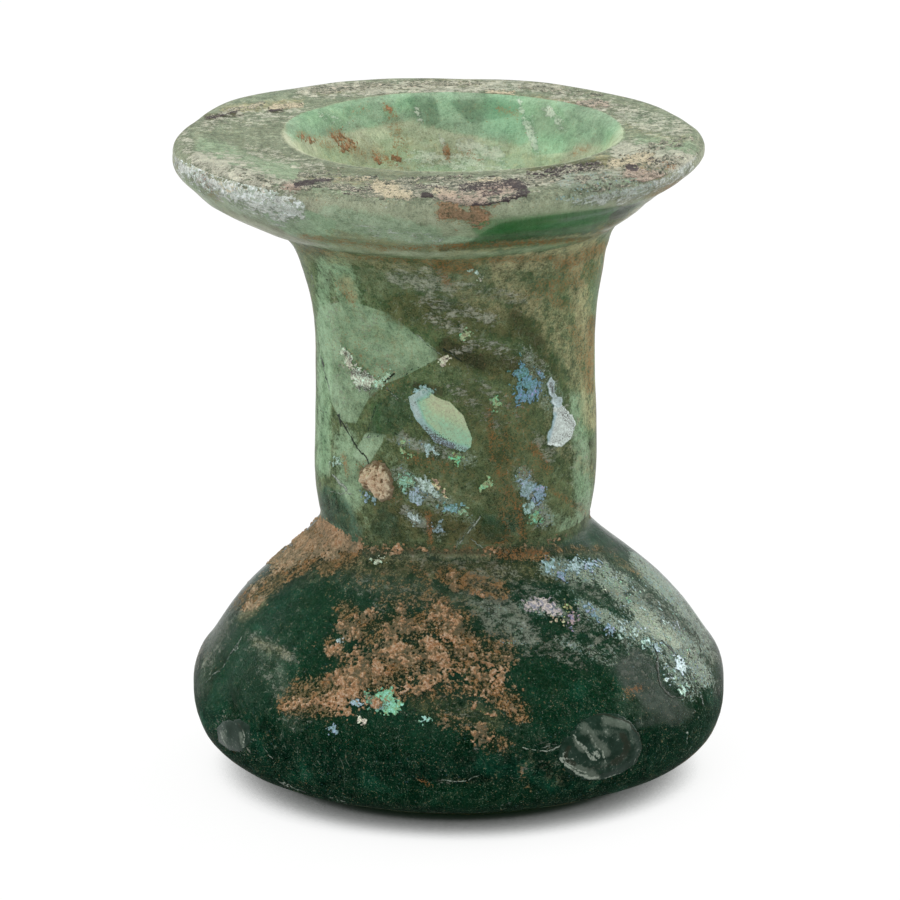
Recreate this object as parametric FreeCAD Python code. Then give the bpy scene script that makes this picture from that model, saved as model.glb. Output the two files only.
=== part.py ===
import FreeCAD, Part
import math
import os

# A small free-blown glass jar shaped like a cotton reel: a squat hollow body, a thick cylindrical
# neck tooled in at its root, and a wide flat collar set a little off-centre round a funnel mouth.
# Millimetres, +Z up. The origin is the centre of the ring that the jar rests on. The front is -Y.
# Azimuths are in degrees from the front, positive towards +X.

V = FreeCAD.Vector

# Body
body_height = 20.2
body_radius = 20.5
widest_height = 7.0
groove_radius = 10.4
rest_ring_radius = 15.5
rest_ring_width = 3.0
kick_height = 2.4
body_wall = 3.4
floor_thickness = 4.2
throat_wall = 2.0

# Bruise in the body wall
bruise_azimuth = 32.0
bruise_height = 7.3
bruise_ball_radius = 14.0
bruise_depth = 0.8

# Neck
neck_height = 23.8
neck_radius = 10.7
neck_wall = 1.9
throat_length = 1.8
flare_height = 8.0
crease_radius = 13.9
crease_shift = 1.2

# Collar and mouth
rim_height = 6.0
rim_radius = 20.1
rim_shift = 1.55
mouth_depth = 8.0
mouth_shift = 1.4

# Scar of the pontil iron under the base
scar_radius = 5.6
scar_width = 1.7
scar_depth = 0.6

# Thickness of what is stuck to the glass
crust_thickness = 0.6
ring_thickness = 0.4
ring_height = 0.9
lump_thickness = 0.9
lime_thickness = 0.4
film_thickness = 0.2
flake_thickness = 0.16

# How far a cutting shape runs past what it cuts
overrun = 5.0

# Shapes of the outlines, as shares of the sizes that they follow
mouth_share = 0.627
heel_shares = [(0.0, 0.0), (0.70, 0.44), (1.0, 1.0)]
shoulder_shares = [(0.0, 0.0), (0.12, 0.23), (0.33, 0.45), (0.62, 0.68), (0.92, 0.90), (1.0, 1.0)]
cavity_heel_share = (0.95, 0.25)
neck_rise_share = 0.15
flare_shares = [0.0, 0.3, 0.55, 0.8, 1.0]
flare_bend = 2.4
under_rim_shares = [(0.0, 0.0), (0.54, 0.33), (0.92, 0.67), (1.0, 0.83), (0.96, 1.0)]
funnel_shares = [(0.0, 0.0), (0.16, 0.25), (0.42, 0.50), (0.70, 0.78), (0.88, 0.94), (1.0, 1.0)]

# Named levels and radii that follow from the sizes above
crease_height = body_height + neck_height
straight_length = neck_height - flare_height
flare_base = body_height + straight_length
top_height = crease_height + rim_height
kick_radius = rest_ring_radius - rest_ring_width
cavity_radius = body_radius - body_wall
throat_radius = groove_radius - throat_wall
bore_radius = neck_radius - neck_wall
funnel_base = top_height - mouth_depth
mouth_radius = mouth_share * rim_radius
land_width = rim_radius - mouth_radius


def smooth(points):
    """A smooth edge through (radius, height) points in the XZ plane."""
    spline = Part.BSplineCurve()
    spline.interpolate(Points=[V(radius, 0, height) for radius, height in points])
    return spline.toShape()


def straight(start, end):
    """A straight edge between two (radius, height) points in the XZ plane."""
    return Part.makeLine(V(start[0], 0, start[1]), V(end[0], 0, end[1]))


def turned(edges):
    """The solid that a closed outline in the XZ plane sweeps round the vessel's axis."""
    face = Part.Face(Part.Wire(Part.__sortEdges__(edges)))
    return face.revolve(V(0, 0, 0), V(0, 0, 1), 360)


def ring(radius, height, shift=0.0, back=0.0):
    """A level circle whose centre is moved by shift towards -X and by back towards +Y."""
    return Part.Wire([Part.Circle(V(-shift, back, height), V(0, 0, 1), radius).toShape()])


def body_block(grow=0.0):
    """The body as if it were solid, its side moved out by grow."""
    heel = [
        (rest_ring_radius + grow + out * (body_radius - rest_ring_radius), up * widest_height)
        for out, up in heel_shares
    ]
    shoulder = [
        (
            body_radius + grow - along * (body_radius - groove_radius),
            widest_height + up * (body_height - widest_height),
        )
        for along, up in shoulder_shares
    ]
    side = heel + shoulder[1:]
    return turned([
        smooth(side),
        straight(side[-1], (0, body_height)),
        straight((0, body_height), (0, 0)),
        straight((0, 0), side[0]),
    ])


def kick_block(lower=0.0):
    """The dome of air under the pushed-in base, its roof moved down by lower."""
    roof_height = kick_height - lower
    edge_radius = kick_radius * roof_height / kick_height
    sag_share = 0.72
    roof = Part.Arc(
        V(edge_radius, 0, 0),
        V(edge_radius * math.sqrt(1 - sag_share), 0, roof_height * sag_share),
        V(0, 0, roof_height),
    ).toShape()
    return turned([roof, straight((0, roof_height), (0, 0)), straight((0, 0), (edge_radius, 0))])


def cavity_block():
    """The hollow inside the body, from its domed floor up to the throat."""
    shoulder = [
        (
            cavity_radius - along * (cavity_radius - throat_radius),
            widest_height + up * (body_height - widest_height),
        )
        for along, up in shoulder_shares
    ]
    heel = [
        (kick_radius, floor_thickness),
        (
            cavity_radius * cavity_heel_share[0],
            floor_thickness + cavity_heel_share[1] * (widest_height - floor_thickness),
        ),
    ]
    side = heel + shoulder
    floor_top = kick_height + floor_thickness
    floor = Part.Arc(
        V(0, 0, floor_top),
        V(kick_radius / math.sqrt(2), 0, floor_thickness + kick_height / 2),
        V(kick_radius, 0, floor_thickness),
    ).toShape()
    return turned([
        floor,
        smooth(side),
        straight(side[-1], (0, body_height)),
        straight((0, body_height), (0, floor_top)),
    ])


def neck_post(grow=0.0):
    """The straight part of the neck as if it were solid, its side moved out by grow."""
    root = (groove_radius + grow, body_height)
    waist = (neck_radius + grow, body_height + neck_rise_share * straight_length)
    head = (neck_radius + grow, flare_base)
    return turned([
        straight(root, waist),
        straight(waist, head),
        straight(head, (0, flare_base)),
        straight((0, flare_base), (0, body_height)),
        straight((0, body_height), root),
    ])


def flare_block():
    """The top of the neck as if it were solid, where it spreads to the crease under the collar."""
    rings = []
    for share in flare_shares:
        bend = share ** flare_bend
        rings.append(ring(
            neck_radius + bend * (crease_radius - neck_radius),
            flare_base + share * flare_height,
            bend * crease_shift,
        ))
    return Part.makeLoft(rings, True, True)


def rim_block(grow=0.0):
    """The collar as if it were solid, its side and top moved out by grow."""
    rings = []
    for out, up in under_rim_shares:
        shift = crease_shift if up == 0 else rim_shift
        rise = grow if up == 1 else 0
        rings.append(ring(
            crease_radius + grow + out * (rim_radius - crease_radius),
            crease_height + up * rim_height + rise,
            shift,
        ))
    return Part.makeLoft(rings, True, True)


def bore_block():
    """The straight bore of the neck and the short cone that narrows it to the throat."""
    bore_base = body_height + throat_length
    cone = Part.makeCone(throat_radius, bore_radius, throat_length, V(0, 0, body_height))
    bore = Part.makeCylinder(bore_radius, funnel_base - bore_base, V(0, 0, bore_base))
    return cone.fuse(bore)


def funnel_block(shrink=0.0):
    """The funnel mouth, which leans to the back, its wall moved in by shrink and its top open."""
    rings = [
        ring(
            bore_radius - shrink + out * (mouth_radius - bore_radius),
            funnel_base + up * mouth_depth,
            0,
            out * mouth_shift,
        )
        for out, up in funnel_shares
    ]
    above = Part.makeCylinder(mouth_radius - shrink, overrun, V(0, mouth_shift, top_height))
    return Part.makeLoft(rings, True, True).fuse(above)


def outward(azimuth):
    """The level direction that an azimuth points in."""
    turn = math.radians(azimuth)
    return V(math.sin(turn), -math.cos(turn), 0)


def closed_outline(points):
    """A face inside a smooth closed outline through 3-D points that lie in one plane."""
    spline = Part.BSplineCurve()
    spline.interpolate(Points=points, PeriodicFlag=True)
    return Part.Face(Part.Wire([spline.toShape()]))


def side_patch(azimuth, height, half_width, half_tall, outline_shares):
    """A prism from the axis outwards, whose section is an irregular patch seen from outside."""
    out = outward(azimuth)
    right = V(-out.y, out.x, 0)
    points = [
        V(0, 0, height) + right * (across * half_width) + V(0, 0, up * half_tall)
        for across, up in outline_shares
    ]
    reach = body_radius + rim_radius + overrun
    return closed_outline(points).extrude(out * reach)


def top_patch(azimuth, distance, half_width, half_deep, outline_shares, base, rise):
    """An upright prism whose plan is an irregular patch on the collar."""
    out = outward(azimuth)
    right = V(-out.y, out.x, 0)
    centre = V(-rim_shift, 0, base) + out * distance
    points = [
        centre + right * (across * half_width) + out * (deep * half_deep)
        for across, deep in outline_shares
    ]
    return closed_outline(points).extrude(V(0, 0, rise))


# Irregular outlines, as shares of a patch's half width and half height
ragged_shares = [
    (-1.0, -0.45), (-0.60, 0.0), (-0.45, 0.75), (-0.05, 0.62), (0.35, 1.0), (0.62, 0.50),
    (0.82, -0.10), (1.0, -0.55), (0.55, -0.72), (0.22, -1.0), (-0.12, -0.60), (-0.55, -0.85),
]
wedge_shares = [(-1.0, -1.0), (-0.55, -0.30), (-0.25, 0.55), (0.35, 1.0), (1.0, 0.85), (0.60, 0.10), (0.0, -0.55)]
flake_shares = [(-1.0, 0.35), (-0.45, 1.0), (0.15, 0.80), (0.62, 0.10), (1.0, -0.45), (0.55, -1.0), (-0.40, -0.62)]
chip_shares = [(-1.0, -0.10), (-0.20, 0.90), (0.45, 1.0), (1.0, 0.05), (0.40, -0.80), (-0.45, -1.0)]
band_shares = [
    (-1.0, 0.15), (-0.62, 0.80), (-0.15, 1.0), (0.35, 0.85), (1.0, 0.30), (0.70, -0.45),
    (0.15, -0.90), (-0.35, -0.55), (-0.70, -0.75),
]
crescent_shares = [
    (-1.0, -0.30), (-0.72, 0.45), (-0.35, 0.85), (0.05, 1.0), (0.45, 0.80), (0.80, 0.30),
    (0.95, -0.25), (0.62, -0.15), (0.28, 0.12), (0.0, -0.08), (-0.35, 0.15), (-0.70, -0.30),
]

# Deposits on the body. Each row: azimuth, then the height, half width and half height as shares of
# the body's height, radius and height
front_crust_shares = [(-14, 0.63, 0.43, 0.25)]
shoulder_wedge_shares = [(-70, 0.80, 0.17, 0.16)]
green_flake_shares = [(-18, 0.53, 0.075, 0.045), (-5, 0.47, 0.03, 0.02)]
blue_flake_shares = [
    (40, 0.88, 0.05, 0.035), (47, 0.79, 0.055, 0.05), (36, 0.74, 0.045, 0.035),
    (56, 0.70, 0.05, 0.05), (58, 0.55, 0.04, 0.05), (49, 0.62, 0.035, 0.03),
]
pearly_layer_shares = [(74, 0.58, 0.20, 0.25)]

# Deposits on the neck. Each row: azimuth, then the height above the groove, half width and half
# height as shares of the length of the neck's straight part, radius and the same length
neck_lump_shares = [(-34, 0.325, 0.125, 0.10)]
large_flake_shares = [(-6, 0.64, 0.235, 0.158)]
white_flake_shares = [(49, 0.565, 0.15, 0.113)]
neck_blue_shares = [(25, 0.89, 0.10, 0.075), (31, 0.80, 0.07, 0.06), (38, 0.69, 0.06, 0.053)]
neck_yellow_shares = [(-47, 0.88, 0.06, 0.068), (-42, 0.80, 0.075, 0.053)]
neck_small_shares = [
    (-6, 0.95, 0.055, 0.035), (-13, 0.30, 0.08, 0.045), (-21, 0.354, 0.045, 0.045),
    (11, 0.324, 0.035, 0.03), (32, 0.25, 0.06, 0.068),
]

# Deposits on the collar's top. Each row: azimuth, then the distance from the mouth, half width and
# half depth as shares of the land's width, the collar's radius and the land's width
fold_share = 0.22
front_lime_shares = [(-4, 0.33, 0.56, 0.72)]
right_lime_shares = [(62, 0.46, 0.20, 0.35)]
back_lime_shares = [(-128, 0.62, 0.10, 0.16), (167, 0.36, 0.09, 0.13)]

# Deposits on the collar's side. Each row: azimuth, then the height above the crease, half width
# and half height as shares of the collar's height, radius and height
left_film_shares = [(-50, 0.68, 0.24, 0.22)]
edge_soil_shares = [(8, 0.74, 0.10, 0.20)]

# Soil in the mouth. Each row: azimuth, then the height above the funnel's base, half width and
# half height as shares of the mouth's depth, radius and depth
mouth_soil_shares = [(-152, 0.60, 0.15, 0.16), (-125, 0.64, 0.08, 0.12), (178, 0.48, 0.06, 0.09)]


def on_side(skin, rows, base, tall, wide, outline_shares):
    """The parts of a skin that lie inside the patches of a table, one solid for each row."""
    return [
        skin.common(side_patch(azimuth, base + up * tall, across * wide, deep * tall, outline_shares))
        for azimuth, up, across, deep in rows
    ]


def on_top(skin, rows, outline_shares):
    """The same for patches on the collar's top, which may turn down over its edge."""
    base = top_height - fold_share * rim_height
    return [
        skin.common(top_patch(
            azimuth, mouth_radius + away * land_width, across * rim_radius, deep * land_width,
            outline_shares, base, rim_height,
        ))
        for azimuth, away, across, deep in rows
    ]


def without(pieces, others):
    """Pieces cut back from other pieces that they would overlap."""
    cut = []
    for piece in pieces:
        for other in others:
            piece = piece.cut(other)
        cut.append(piece)
    return cut


def write(node, pieces):
    """Write one node's solids to its file."""
    solids = [solid for piece in pieces for solid in piece.Solids]
    shape = solids[0] if len(solids) == 1 else Part.makeCompound(solids)
    if not shape.isValid():
        raise ValueError(node + " is not valid")
    shape.exportStep("parts/" + node + ".step")
    volume = sum(solid.Volume for solid in solids)
    print(node, len(solids), "solids", round(volume, 3), "mm3")


def bruise():
    """The shallow round scoop that a blow took out of the body's side."""
    away = body_radius - bruise_depth + bruise_ball_radius
    centre = outward(bruise_azimuth) * away + V(0, 0, bruise_height)
    return Part.makeSphere(bruise_ball_radius, centre)


def pontil_scar():
    """The rough ring left under the base by the pontil iron."""
    outer = Part.makeCylinder(scar_radius, kick_height)
    inner = Part.makeCylinder(scar_radius - scar_width, kick_height)
    return kick_block().cut(kick_block(scar_depth)).common(outer.cut(inner))


def make_glass():
    """The three lengths of the vessel's glass, which meet in level faces."""
    reservoir = body_block().cut(kick_block()).cut(cavity_block()).cut(bruise())
    neck = neck_post().fuse(flare_block()).cut(bore_block()).cut(funnel_block())
    rim = rim_block().cut(funnel_block())
    write("glass_reservoir", [reservoir])
    write("glass_neck", [neck])
    write("glass_rim", [rim])
    write("pontil_scar", [pontil_scar()])


def make_body_deposits():
    """Soil and weathering on the body."""
    crust_skin = body_block(crust_thickness).cut(body_block())
    flake_skin = body_block(flake_thickness).cut(body_block())
    body = (0, body_height, body_radius)
    green = on_side(flake_skin, green_flake_shares, *body, flake_shares)
    blue = on_side(flake_skin, blue_flake_shares, *body, chip_shares)
    pearly = on_side(flake_skin, pearly_layer_shares, *body, band_shares)
    front = on_side(crust_skin, front_crust_shares, *body, ragged_shares)
    wedge = on_side(crust_skin, shoulder_wedge_shares, *body, wedge_shares)
    write("flakes_body_green", green)
    write("flakes_shoulder_blue", blue)
    write("pearly_layer_right", without(pearly, blue))
    write("soil_crust_front", without(front, green))
    write("soil_wedge_shoulder", wedge)


def make_neck_deposits():
    """Soil and lifted flakes on the neck, and the soil packed into the groove at its root."""
    flake_skin = neck_post(flake_thickness).cut(neck_post())
    lump_skin = neck_post(lump_thickness).cut(neck_post())
    ring_skin = neck_post(ring_thickness).cut(neck_post())
    neck = (body_height, straight_length, neck_radius)
    write("flake_neck_large", on_side(flake_skin, large_flake_shares, *neck, flake_shares))
    write("flake_neck_white", on_side(flake_skin, white_flake_shares, *neck, chip_shares))
    write("flakes_neck_blue", on_side(flake_skin, neck_blue_shares, *neck, chip_shares))
    write("flakes_neck_yellow", on_side(flake_skin, neck_yellow_shares, *neck, flake_shares))
    write("flakes_neck_small", on_side(flake_skin, neck_small_shares, *neck, chip_shares))
    write("soil_lump_neck", on_side(lump_skin, neck_lump_shares, *neck, ragged_shares))
    band = Part.makeCylinder(body_radius, ring_height, V(0, 0, body_height))
    write("soil_ring_groove", [ring_skin.common(band)])


def make_collar_deposits():
    """Lime and soil on the collar and in the mouth."""
    lime_skin = rim_block(lime_thickness).cut(rim_block()).cut(funnel_block())
    film_skin = rim_block(film_thickness).cut(rim_block()).cut(funnel_block())
    mouth_skin = funnel_block().cut(funnel_block(film_thickness))
    collar = (crease_height, rim_height, rim_radius)
    mouth = (funnel_base, mouth_depth, mouth_radius)
    front = on_top(lime_skin, front_lime_shares, crescent_shares)
    right = on_top(lime_skin, right_lime_shares, ragged_shares)
    back = on_top(lime_skin, back_lime_shares, chip_shares)
    film = on_side(film_skin, left_film_shares, *collar, band_shares)
    edge = on_side(lime_skin, edge_soil_shares, *collar, wedge_shares)
    write("lime_crust_rim_front", front)
    write("lime_crust_rim_right", right)
    write("lime_crust_rim_back", back)
    write("lime_film_rim_left", without(film, front))
    write("soil_patch_rim_edge", without(edge, front))
    write("soil_spots_mouth", on_side(mouth_skin, mouth_soil_shares, *mouth, ragged_shares))


os.makedirs("parts", exist_ok=True)
make_glass()
make_body_deposits()
make_neck_deposits()
make_collar_deposits()
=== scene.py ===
import math

import bpy
import numpy as np
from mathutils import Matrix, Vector, noise
from mathutils.bvhtree import BVHTree


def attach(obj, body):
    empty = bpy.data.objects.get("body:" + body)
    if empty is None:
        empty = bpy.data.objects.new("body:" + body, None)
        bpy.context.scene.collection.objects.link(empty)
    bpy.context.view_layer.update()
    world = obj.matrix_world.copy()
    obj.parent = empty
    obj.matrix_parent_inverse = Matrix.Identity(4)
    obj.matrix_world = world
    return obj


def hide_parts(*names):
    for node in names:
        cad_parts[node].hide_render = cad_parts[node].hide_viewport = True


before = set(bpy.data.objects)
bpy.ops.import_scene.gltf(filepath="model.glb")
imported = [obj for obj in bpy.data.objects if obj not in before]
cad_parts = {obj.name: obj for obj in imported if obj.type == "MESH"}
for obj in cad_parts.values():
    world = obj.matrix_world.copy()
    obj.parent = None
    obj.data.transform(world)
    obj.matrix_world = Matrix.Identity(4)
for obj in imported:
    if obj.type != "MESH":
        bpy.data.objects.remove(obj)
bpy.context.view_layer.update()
mm = 0.001

# The camera. It stands far off in front of the jar and a little above it, so that the mouth
# shows as a narrow oval. The same numbers tell where a place on the jar falls in the photograph.
camera_place = Vector((-0.5 * mm, -540 * mm, 177.6 * mm))
camera_pitch = math.radians(15.756)
camera_lens = 291.95
camera_sensor = 36.0
photo_side = 900

bpy.ops.object.camera_add(
    location=camera_place, rotation=(math.radians(90) - camera_pitch, 0, 0)
)
camera = bpy.context.object
camera.name = "camera"
camera.data.lens = camera_lens
camera.data.sensor_width = camera_sensor
bpy.context.scene.camera = camera


def photo_pixels(points):
    """Where points in metres fall in the photograph, as rows of x and y in pixels."""
    away = points - np.array(camera_place)
    cosine, sine = math.cos(camera_pitch), math.sin(camera_pitch)
    depth = away[:, 1] * cosine - away[:, 2] * sine
    up = away[:, 1] * sine + away[:, 2] * cosine
    middle = photo_side / 2
    focal = camera_lens / camera_sensor * photo_side
    return np.stack([middle + focal * away[:, 0] / depth, middle - focal * up / depth], 1)


# The glass vessel. One gather of bottle-green glass, blown hollow in the body and left thick in
# the neck, tooled in at the neck's root and spread into a wide collar that sits off-centre.
# Each row is a radius, a height, and how far the centre sits towards +X and +Y, in millimetres.
outside = [
    (0, 2.4, 0, 0), (4, 2.2, 0, 0), (8, 1.4, 0, 0), (10.6, 0.3, 0, 0), (11.8, 0, 0, 0),
    (13.0, 0.1, 0, 0), (15.0, 0.85, 0, 0), (17.2, 1.65, 0.05, 0), (19.0, 2.6, 0.15, 0),
    (20.1, 4.1, 0.2, 0), (20.56, 7.0, 0.25, 0), (20.3, 8.6, 0.3, 0), (19.4, 10.0, 0.35, 0),
    (17.3, 13.0, 0.25, 0), (14.35, 16.0, 0.15, 0), (12.2, 17.9, 0, 0), (11.15, 18.95, -0.1, 0),
    (10.62, 19.6, -0.15, 0), (10.42, 20.3, -0.1, 0), (10.55, 21.2, -0.1, 0), (10.78, 23, -0.1, 0),
    (10.82, 27, -0.1, 0), (10.68, 31, -0.08, 0), (10.79, 36, -0.08, 0), (11.51, 40, -0.3, 0),
    (12.14, 42, -0.5, 0), (13.1, 43.4, -0.9, 0), (13.9, 44.0, -1.25, 0), (15.0, 44.5, -1.7, 0),
    (17.27, 46, -2.25, 0), (18.41, 47, -2.15, 0), (19.63, 48, -1.87, 0), (20.12, 48.9, -1.5, 0),
    (19.95, 49.6, -1.45, 0), (19.4, 49.95, -1.4, 0), (18.0, 50.05, -1.2, 0.2),
    (16.0, 49.95, -0.8, 0.6), (14.0, 50.0, -0.4, 1.1), (12.9, 49.95, -0.25, 1.35),
]
inside = [
    (12.9, 49.95, -0.25, 1.35), (12.3, 49.6, -0.25, 1.35), (11.9, 48.9, -0.2, 1.25),
    (11.2, 47.4, -0.2, 1.0), (10.3, 45.6, -0.1, 0.7), (9.5, 44, 0, 0.4), (9.0, 42.6, 0, 0.15),
    (8.8, 41, 0, 0), (8.8, 36, 0, 0), (8.8, 30, 0, 0), (8.75, 24, 0, 0), (8.5, 21.8, 0, 0),
    (8.3, 20.2, 0, 0), (8.9, 18.8, 0, 0), (10.6, 17.2, 0, 0), (13.2, 14.4, 0, 0),
    (15.6, 11.2, 0, 0), (16.9, 8.6, 0, 0), (17.1, 7.0, 0, 0), (16.4, 5.4, 0, 0), (14.4, 4.5, 0, 0),
    (12, 4.4, 0, 0), (8, 5.3, 0, 0), (4, 6.3, 0, 0), (0, 6.6, 0, 0),
]
bend_steps = 4
turn_steps = 256
outside_spacing = 0.5
inside_spacing = 1.1
collar_shift = 1.4 * mm
body_top = 20.6


def mark(piece, name, values):
    """Gives a piece's vertices an attribute, from one value for each or one for all."""
    layer = piece.data.attributes.get(name) or piece.data.attributes.new(name, "FLOAT", "POINT")
    layer.data.foreach_set("value", np.full(len(piece.data.vertices), values, np.float32))


def read_mark(piece, name):
    """The values of such an attribute."""
    values = np.zeros(len(piece.data.vertices), np.float32)
    piece.data.attributes[name].data.foreach_get("value", values)
    return values


def read_rows(items, key):
    """One vector of each of some mesh items, as rows of x, y and z."""
    flat = np.zeros(len(items) * 3, np.float32)
    items.foreach_get(key, flat)
    return flat.reshape(-1, 3).astype(np.float64)


def places(piece):
    """Where a piece's vertices are."""
    return read_rows(piece.data.vertices, "co")


def directions(piece):
    """The normals of a piece's vertices."""
    return read_rows(piece.data.vertex_normals, "vector")


def pixels_of(piece):
    """Where a piece's vertices fall in the photograph."""
    return photo_pixels(places(piece))


def move_to(piece, points):
    """Puts a piece's vertices at new places."""
    piece.data.vertices.foreach_set("co", points.astype(np.float32).ravel())
    piece.data.update()


def profile_line(rows, spacing, inner):
    """Half of the vessel's section as a smooth line in XZ, marked with its centre's shifts."""
    bpy.ops.object.select_all(action="DESELECT")
    bpy.ops.curve.primitive_bezier_curve_add()
    curve = bpy.context.object
    spline = curve.data.splines[0]
    spline.bezier_points.add(len(rows) - 2)
    curve.data.resolution_u = bend_steps
    for point, row in zip(spline.bezier_points, rows):
        point.co = (row[0] * mm, 0, row[1] * mm)
        point.handle_left_type = point.handle_right_type = "AUTO"
    bpy.ops.object.convert(target="MESH")
    line = bpy.context.object
    count = len(line.data.vertices)
    along = np.arange(count) / bend_steps
    knots = np.arange(len(rows))
    mark(line, "inner", inner)
    mark(line, "shift_x", np.interp(along, knots, [row[2] * mm for row in rows]))
    mark(line, "shift_y", np.interp(along, knots, [row[3] * mm for row in rows]))
    bpy.ops.object.mode_set(mode="EDIT")
    bpy.ops.mesh.select_mode(type="EDGE")
    for halving in range(3):
        bpy.ops.mesh.select_all(action="DESELECT")
        bpy.ops.object.mode_set(mode="OBJECT")
        ends = places(line)
        for edge in line.data.edges:
            first, second = edge.vertices
            edge.select = bool(np.linalg.norm(ends[first] - ends[second]) > spacing * mm)
        bpy.ops.object.mode_set(mode="EDIT")
        bpy.ops.mesh.subdivide(number_cuts=1)
    bpy.ops.object.mode_set(mode="OBJECT")
    return line


outer_line = profile_line(outside, outside_spacing, 0)
inner_line = profile_line(inside, inside_spacing, 1)
bpy.ops.object.select_all(action="DESELECT")
outer_line.select_set(True)
inner_line.select_set(True)
bpy.context.view_layer.objects.active = outer_line
bpy.ops.object.join()
vessel = bpy.context.object
vessel.name = "glass_vessel"
bpy.ops.object.mode_set(mode="EDIT")
bpy.ops.mesh.select_all(action="SELECT")
bpy.ops.mesh.remove_doubles(threshold=1e-6)
bpy.ops.mesh.spin(steps=turn_steps, angle=math.radians(360), center=(0, 0, 0), axis=(0, 0, 1))
bpy.ops.mesh.select_all(action="SELECT")
bpy.ops.mesh.remove_doubles(threshold=1e-6)
bpy.ops.mesh.normals_make_consistent(inside=False)
bpy.ops.object.mode_set(mode="OBJECT")
bpy.ops.object.shade_smooth()

# Blown and tooled by hand, so no ring of it is quite round, the edge of the collar has a flat
# that was pressed in, and its left end runs out to a blunt corner.
points = places(vessel)
turned_inner = read_mark(vessel, "inner") > 0.5
azimuth = np.degrees(np.arctan2(points[:, 0], -points[:, 1]))
level = np.hypot(points[:, 0], points[:, 1])
collar_share = np.clip((points[:, 2] / mm - 44) / 3, 0, 1) * ~turned_inner
collar_share *= np.clip((level / mm - 13) / 5, 0, 1)


def lobe(angles, middle, half_width):
    """A smooth hump round one azimuth, 1 at its middle."""
    off = (angles - middle + 180) % 360 - 180
    return np.exp(-((off / half_width) ** 2))


swell = (
    0.45 * lobe(azimuth, -127, 9) - 0.5 * lobe(azimuth, -106, 10) - 0.2 * lobe(azimuth, 40, 25)
    + 0.18 * lobe(azimuth, 92, 14) - 0.15 * lobe(azimuth, 170, 20)
)
level[level == 0] = 1
outward = np.stack([points[:, 0] / level, points[:, 1] / level], 1)
points[:, :2] += outward * (swell * collar_share * mm)[:, None]
points[:, 0] += read_mark(vessel, "shift_x")
points[:, 1] += read_mark(vessel, "shift_y")


def wobble(points, size, seed):
    """Smooth noise from -1 to 1 at each point, with lumps of about the given size."""
    drift = Vector((seed * 7.3, seed * 3.1, seed * 5.7))
    return np.array([noise.noise(Vector(point) / size + drift) for point in points])


lumps = 0.16 * wobble(points, 9 * mm, 1) + 0.05 * wobble(points, 3 * mm, 2)
near_foot = np.clip((points[:, 2] / mm - 0.3) / 2, 0, 1)
points += directions(vessel) * (lumps * near_foot * mm)[:, None]
tilt = np.clip((points[:, 2] / mm - 45) / 4, 0, 1) * lobe(azimuth, 180, 95)
points[:, 2] += 0.2 * mm * tilt
move_to(vessel, points)
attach(vessel, "root")
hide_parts("glass_reservoir", "glass_neck", "glass_rim")


# How the weathering lies on the glass, and the painted sheen and glow that are laid on like it.
# Each stroke is a line between two pixels of the photograph with a half width and a strength,
# laid on the surface that shows there. Noise carries the same kinds of film round the side that
# the photograph doesn't show.
points = places(vessel)
height = points[:, 2] / mm
to_camera = np.array(camera_place) - points
to_camera /= np.linalg.norm(to_camera, axis=1)[:, None]
facing = (directions(vessel) * to_camera).sum(1)
seen = np.clip((facing + 0.05) / 0.2, 0, 1) * ~turned_inner
hidden_by_neck = np.clip(points[:, 1] / mm - 1, 0, 2) / 2 * (height < body_top)
hidden_by_neck *= np.clip(11.2 - np.abs(points[:, 0] / mm), 0, 1)
seen *= 1 - hidden_by_neck
vessel_pixels = photo_pixels(points)
zones = {
    "body": ~turned_inner & (height < body_top),
    "neck": ~turned_inner & (height >= 19.4) & (height < 44.2),
    "band": ~turned_inner & (height >= 43.9) & (height < 49.75),
    "top": ~turned_inner & (height > 49.4),
    "mouth": turned_inner & (height > 34),
}


def stroked(spots, rows):
    """How strongly each of some pixels is touched by strokes: x, y, x, y, half width, strength."""
    touched = np.zeros(len(spots))
    for x1, y1, x2, y2, half_width, strength in rows:
        start = np.array([x1, y1], float)
        run = np.array([x2, y2], float) - start
        along = ((spots - start) @ run) / max(run @ run, 1e-9)
        nearest = start + np.clip(along, 0, 1)[:, None] * run
        away = np.linalg.norm(spots - nearest, axis=1) / half_width
        touched = np.maximum(touched, strength * np.clip(1.5 - away, 0, 1))
    return touched


def depth_inside(spots, outline):
    """How far some pixels lie inside a closed outline, in pixels, and below 0 outside it."""
    nearest = np.full(len(spots), 1e9)
    crossings = np.zeros(len(spots), int)
    for start, end in zip(outline, outline[1:] + outline[:1]):
        start, end = np.array(start, float), np.array(end, float)
        run = end - start
        along = np.clip(((spots - start) @ run) / (run @ run), 0, 1)
        nearest = np.minimum(nearest, np.linalg.norm(spots - start - along[:, None] * run, axis=1))
        spans = (start[1] > spots[:, 1]) != (end[1] > spots[:, 1])
        if spans.any():
            cut = start[0] + (spots[:, 1] - start[1]) / (run[1] or 1e-9) * run[0]
            crossings += spans & (spots[:, 0] < cut)
    return np.where(crossings % 2 == 1, nearest, -nearest)


def depth_in_any(spots, outlines):
    """The same for the outline that a pixel lies deepest in."""
    return np.max([depth_inside(spots, outline) for outline in outlines], axis=0)


def weather(name, strokes, behind):
    """Marks the vessel with a film or a painted light: its strokes in front, and noise at that
    strength behind.
    """
    value = np.zeros(len(points))
    for zone, rows in strokes.items():
        inside_zone = zones[zone]
        value[inside_zone] = stroked(vessel_pixels[inside_zone], rows)
    share, size, seed = behind
    uneven = 1.1 * wobble(points, size * mm, seed)
    uneven += 0.8 * wobble(points, size * 0.3 * mm, seed + 50)
    blotches = np.clip(share + uneven - 0.12 * (height < body_top), 0, 1)
    hidden = (1 - seen) * ~turned_inner
    mark(vessel, name, np.where(turned_inner, value, value * (1 - hidden) + blotches * hidden))


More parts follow.
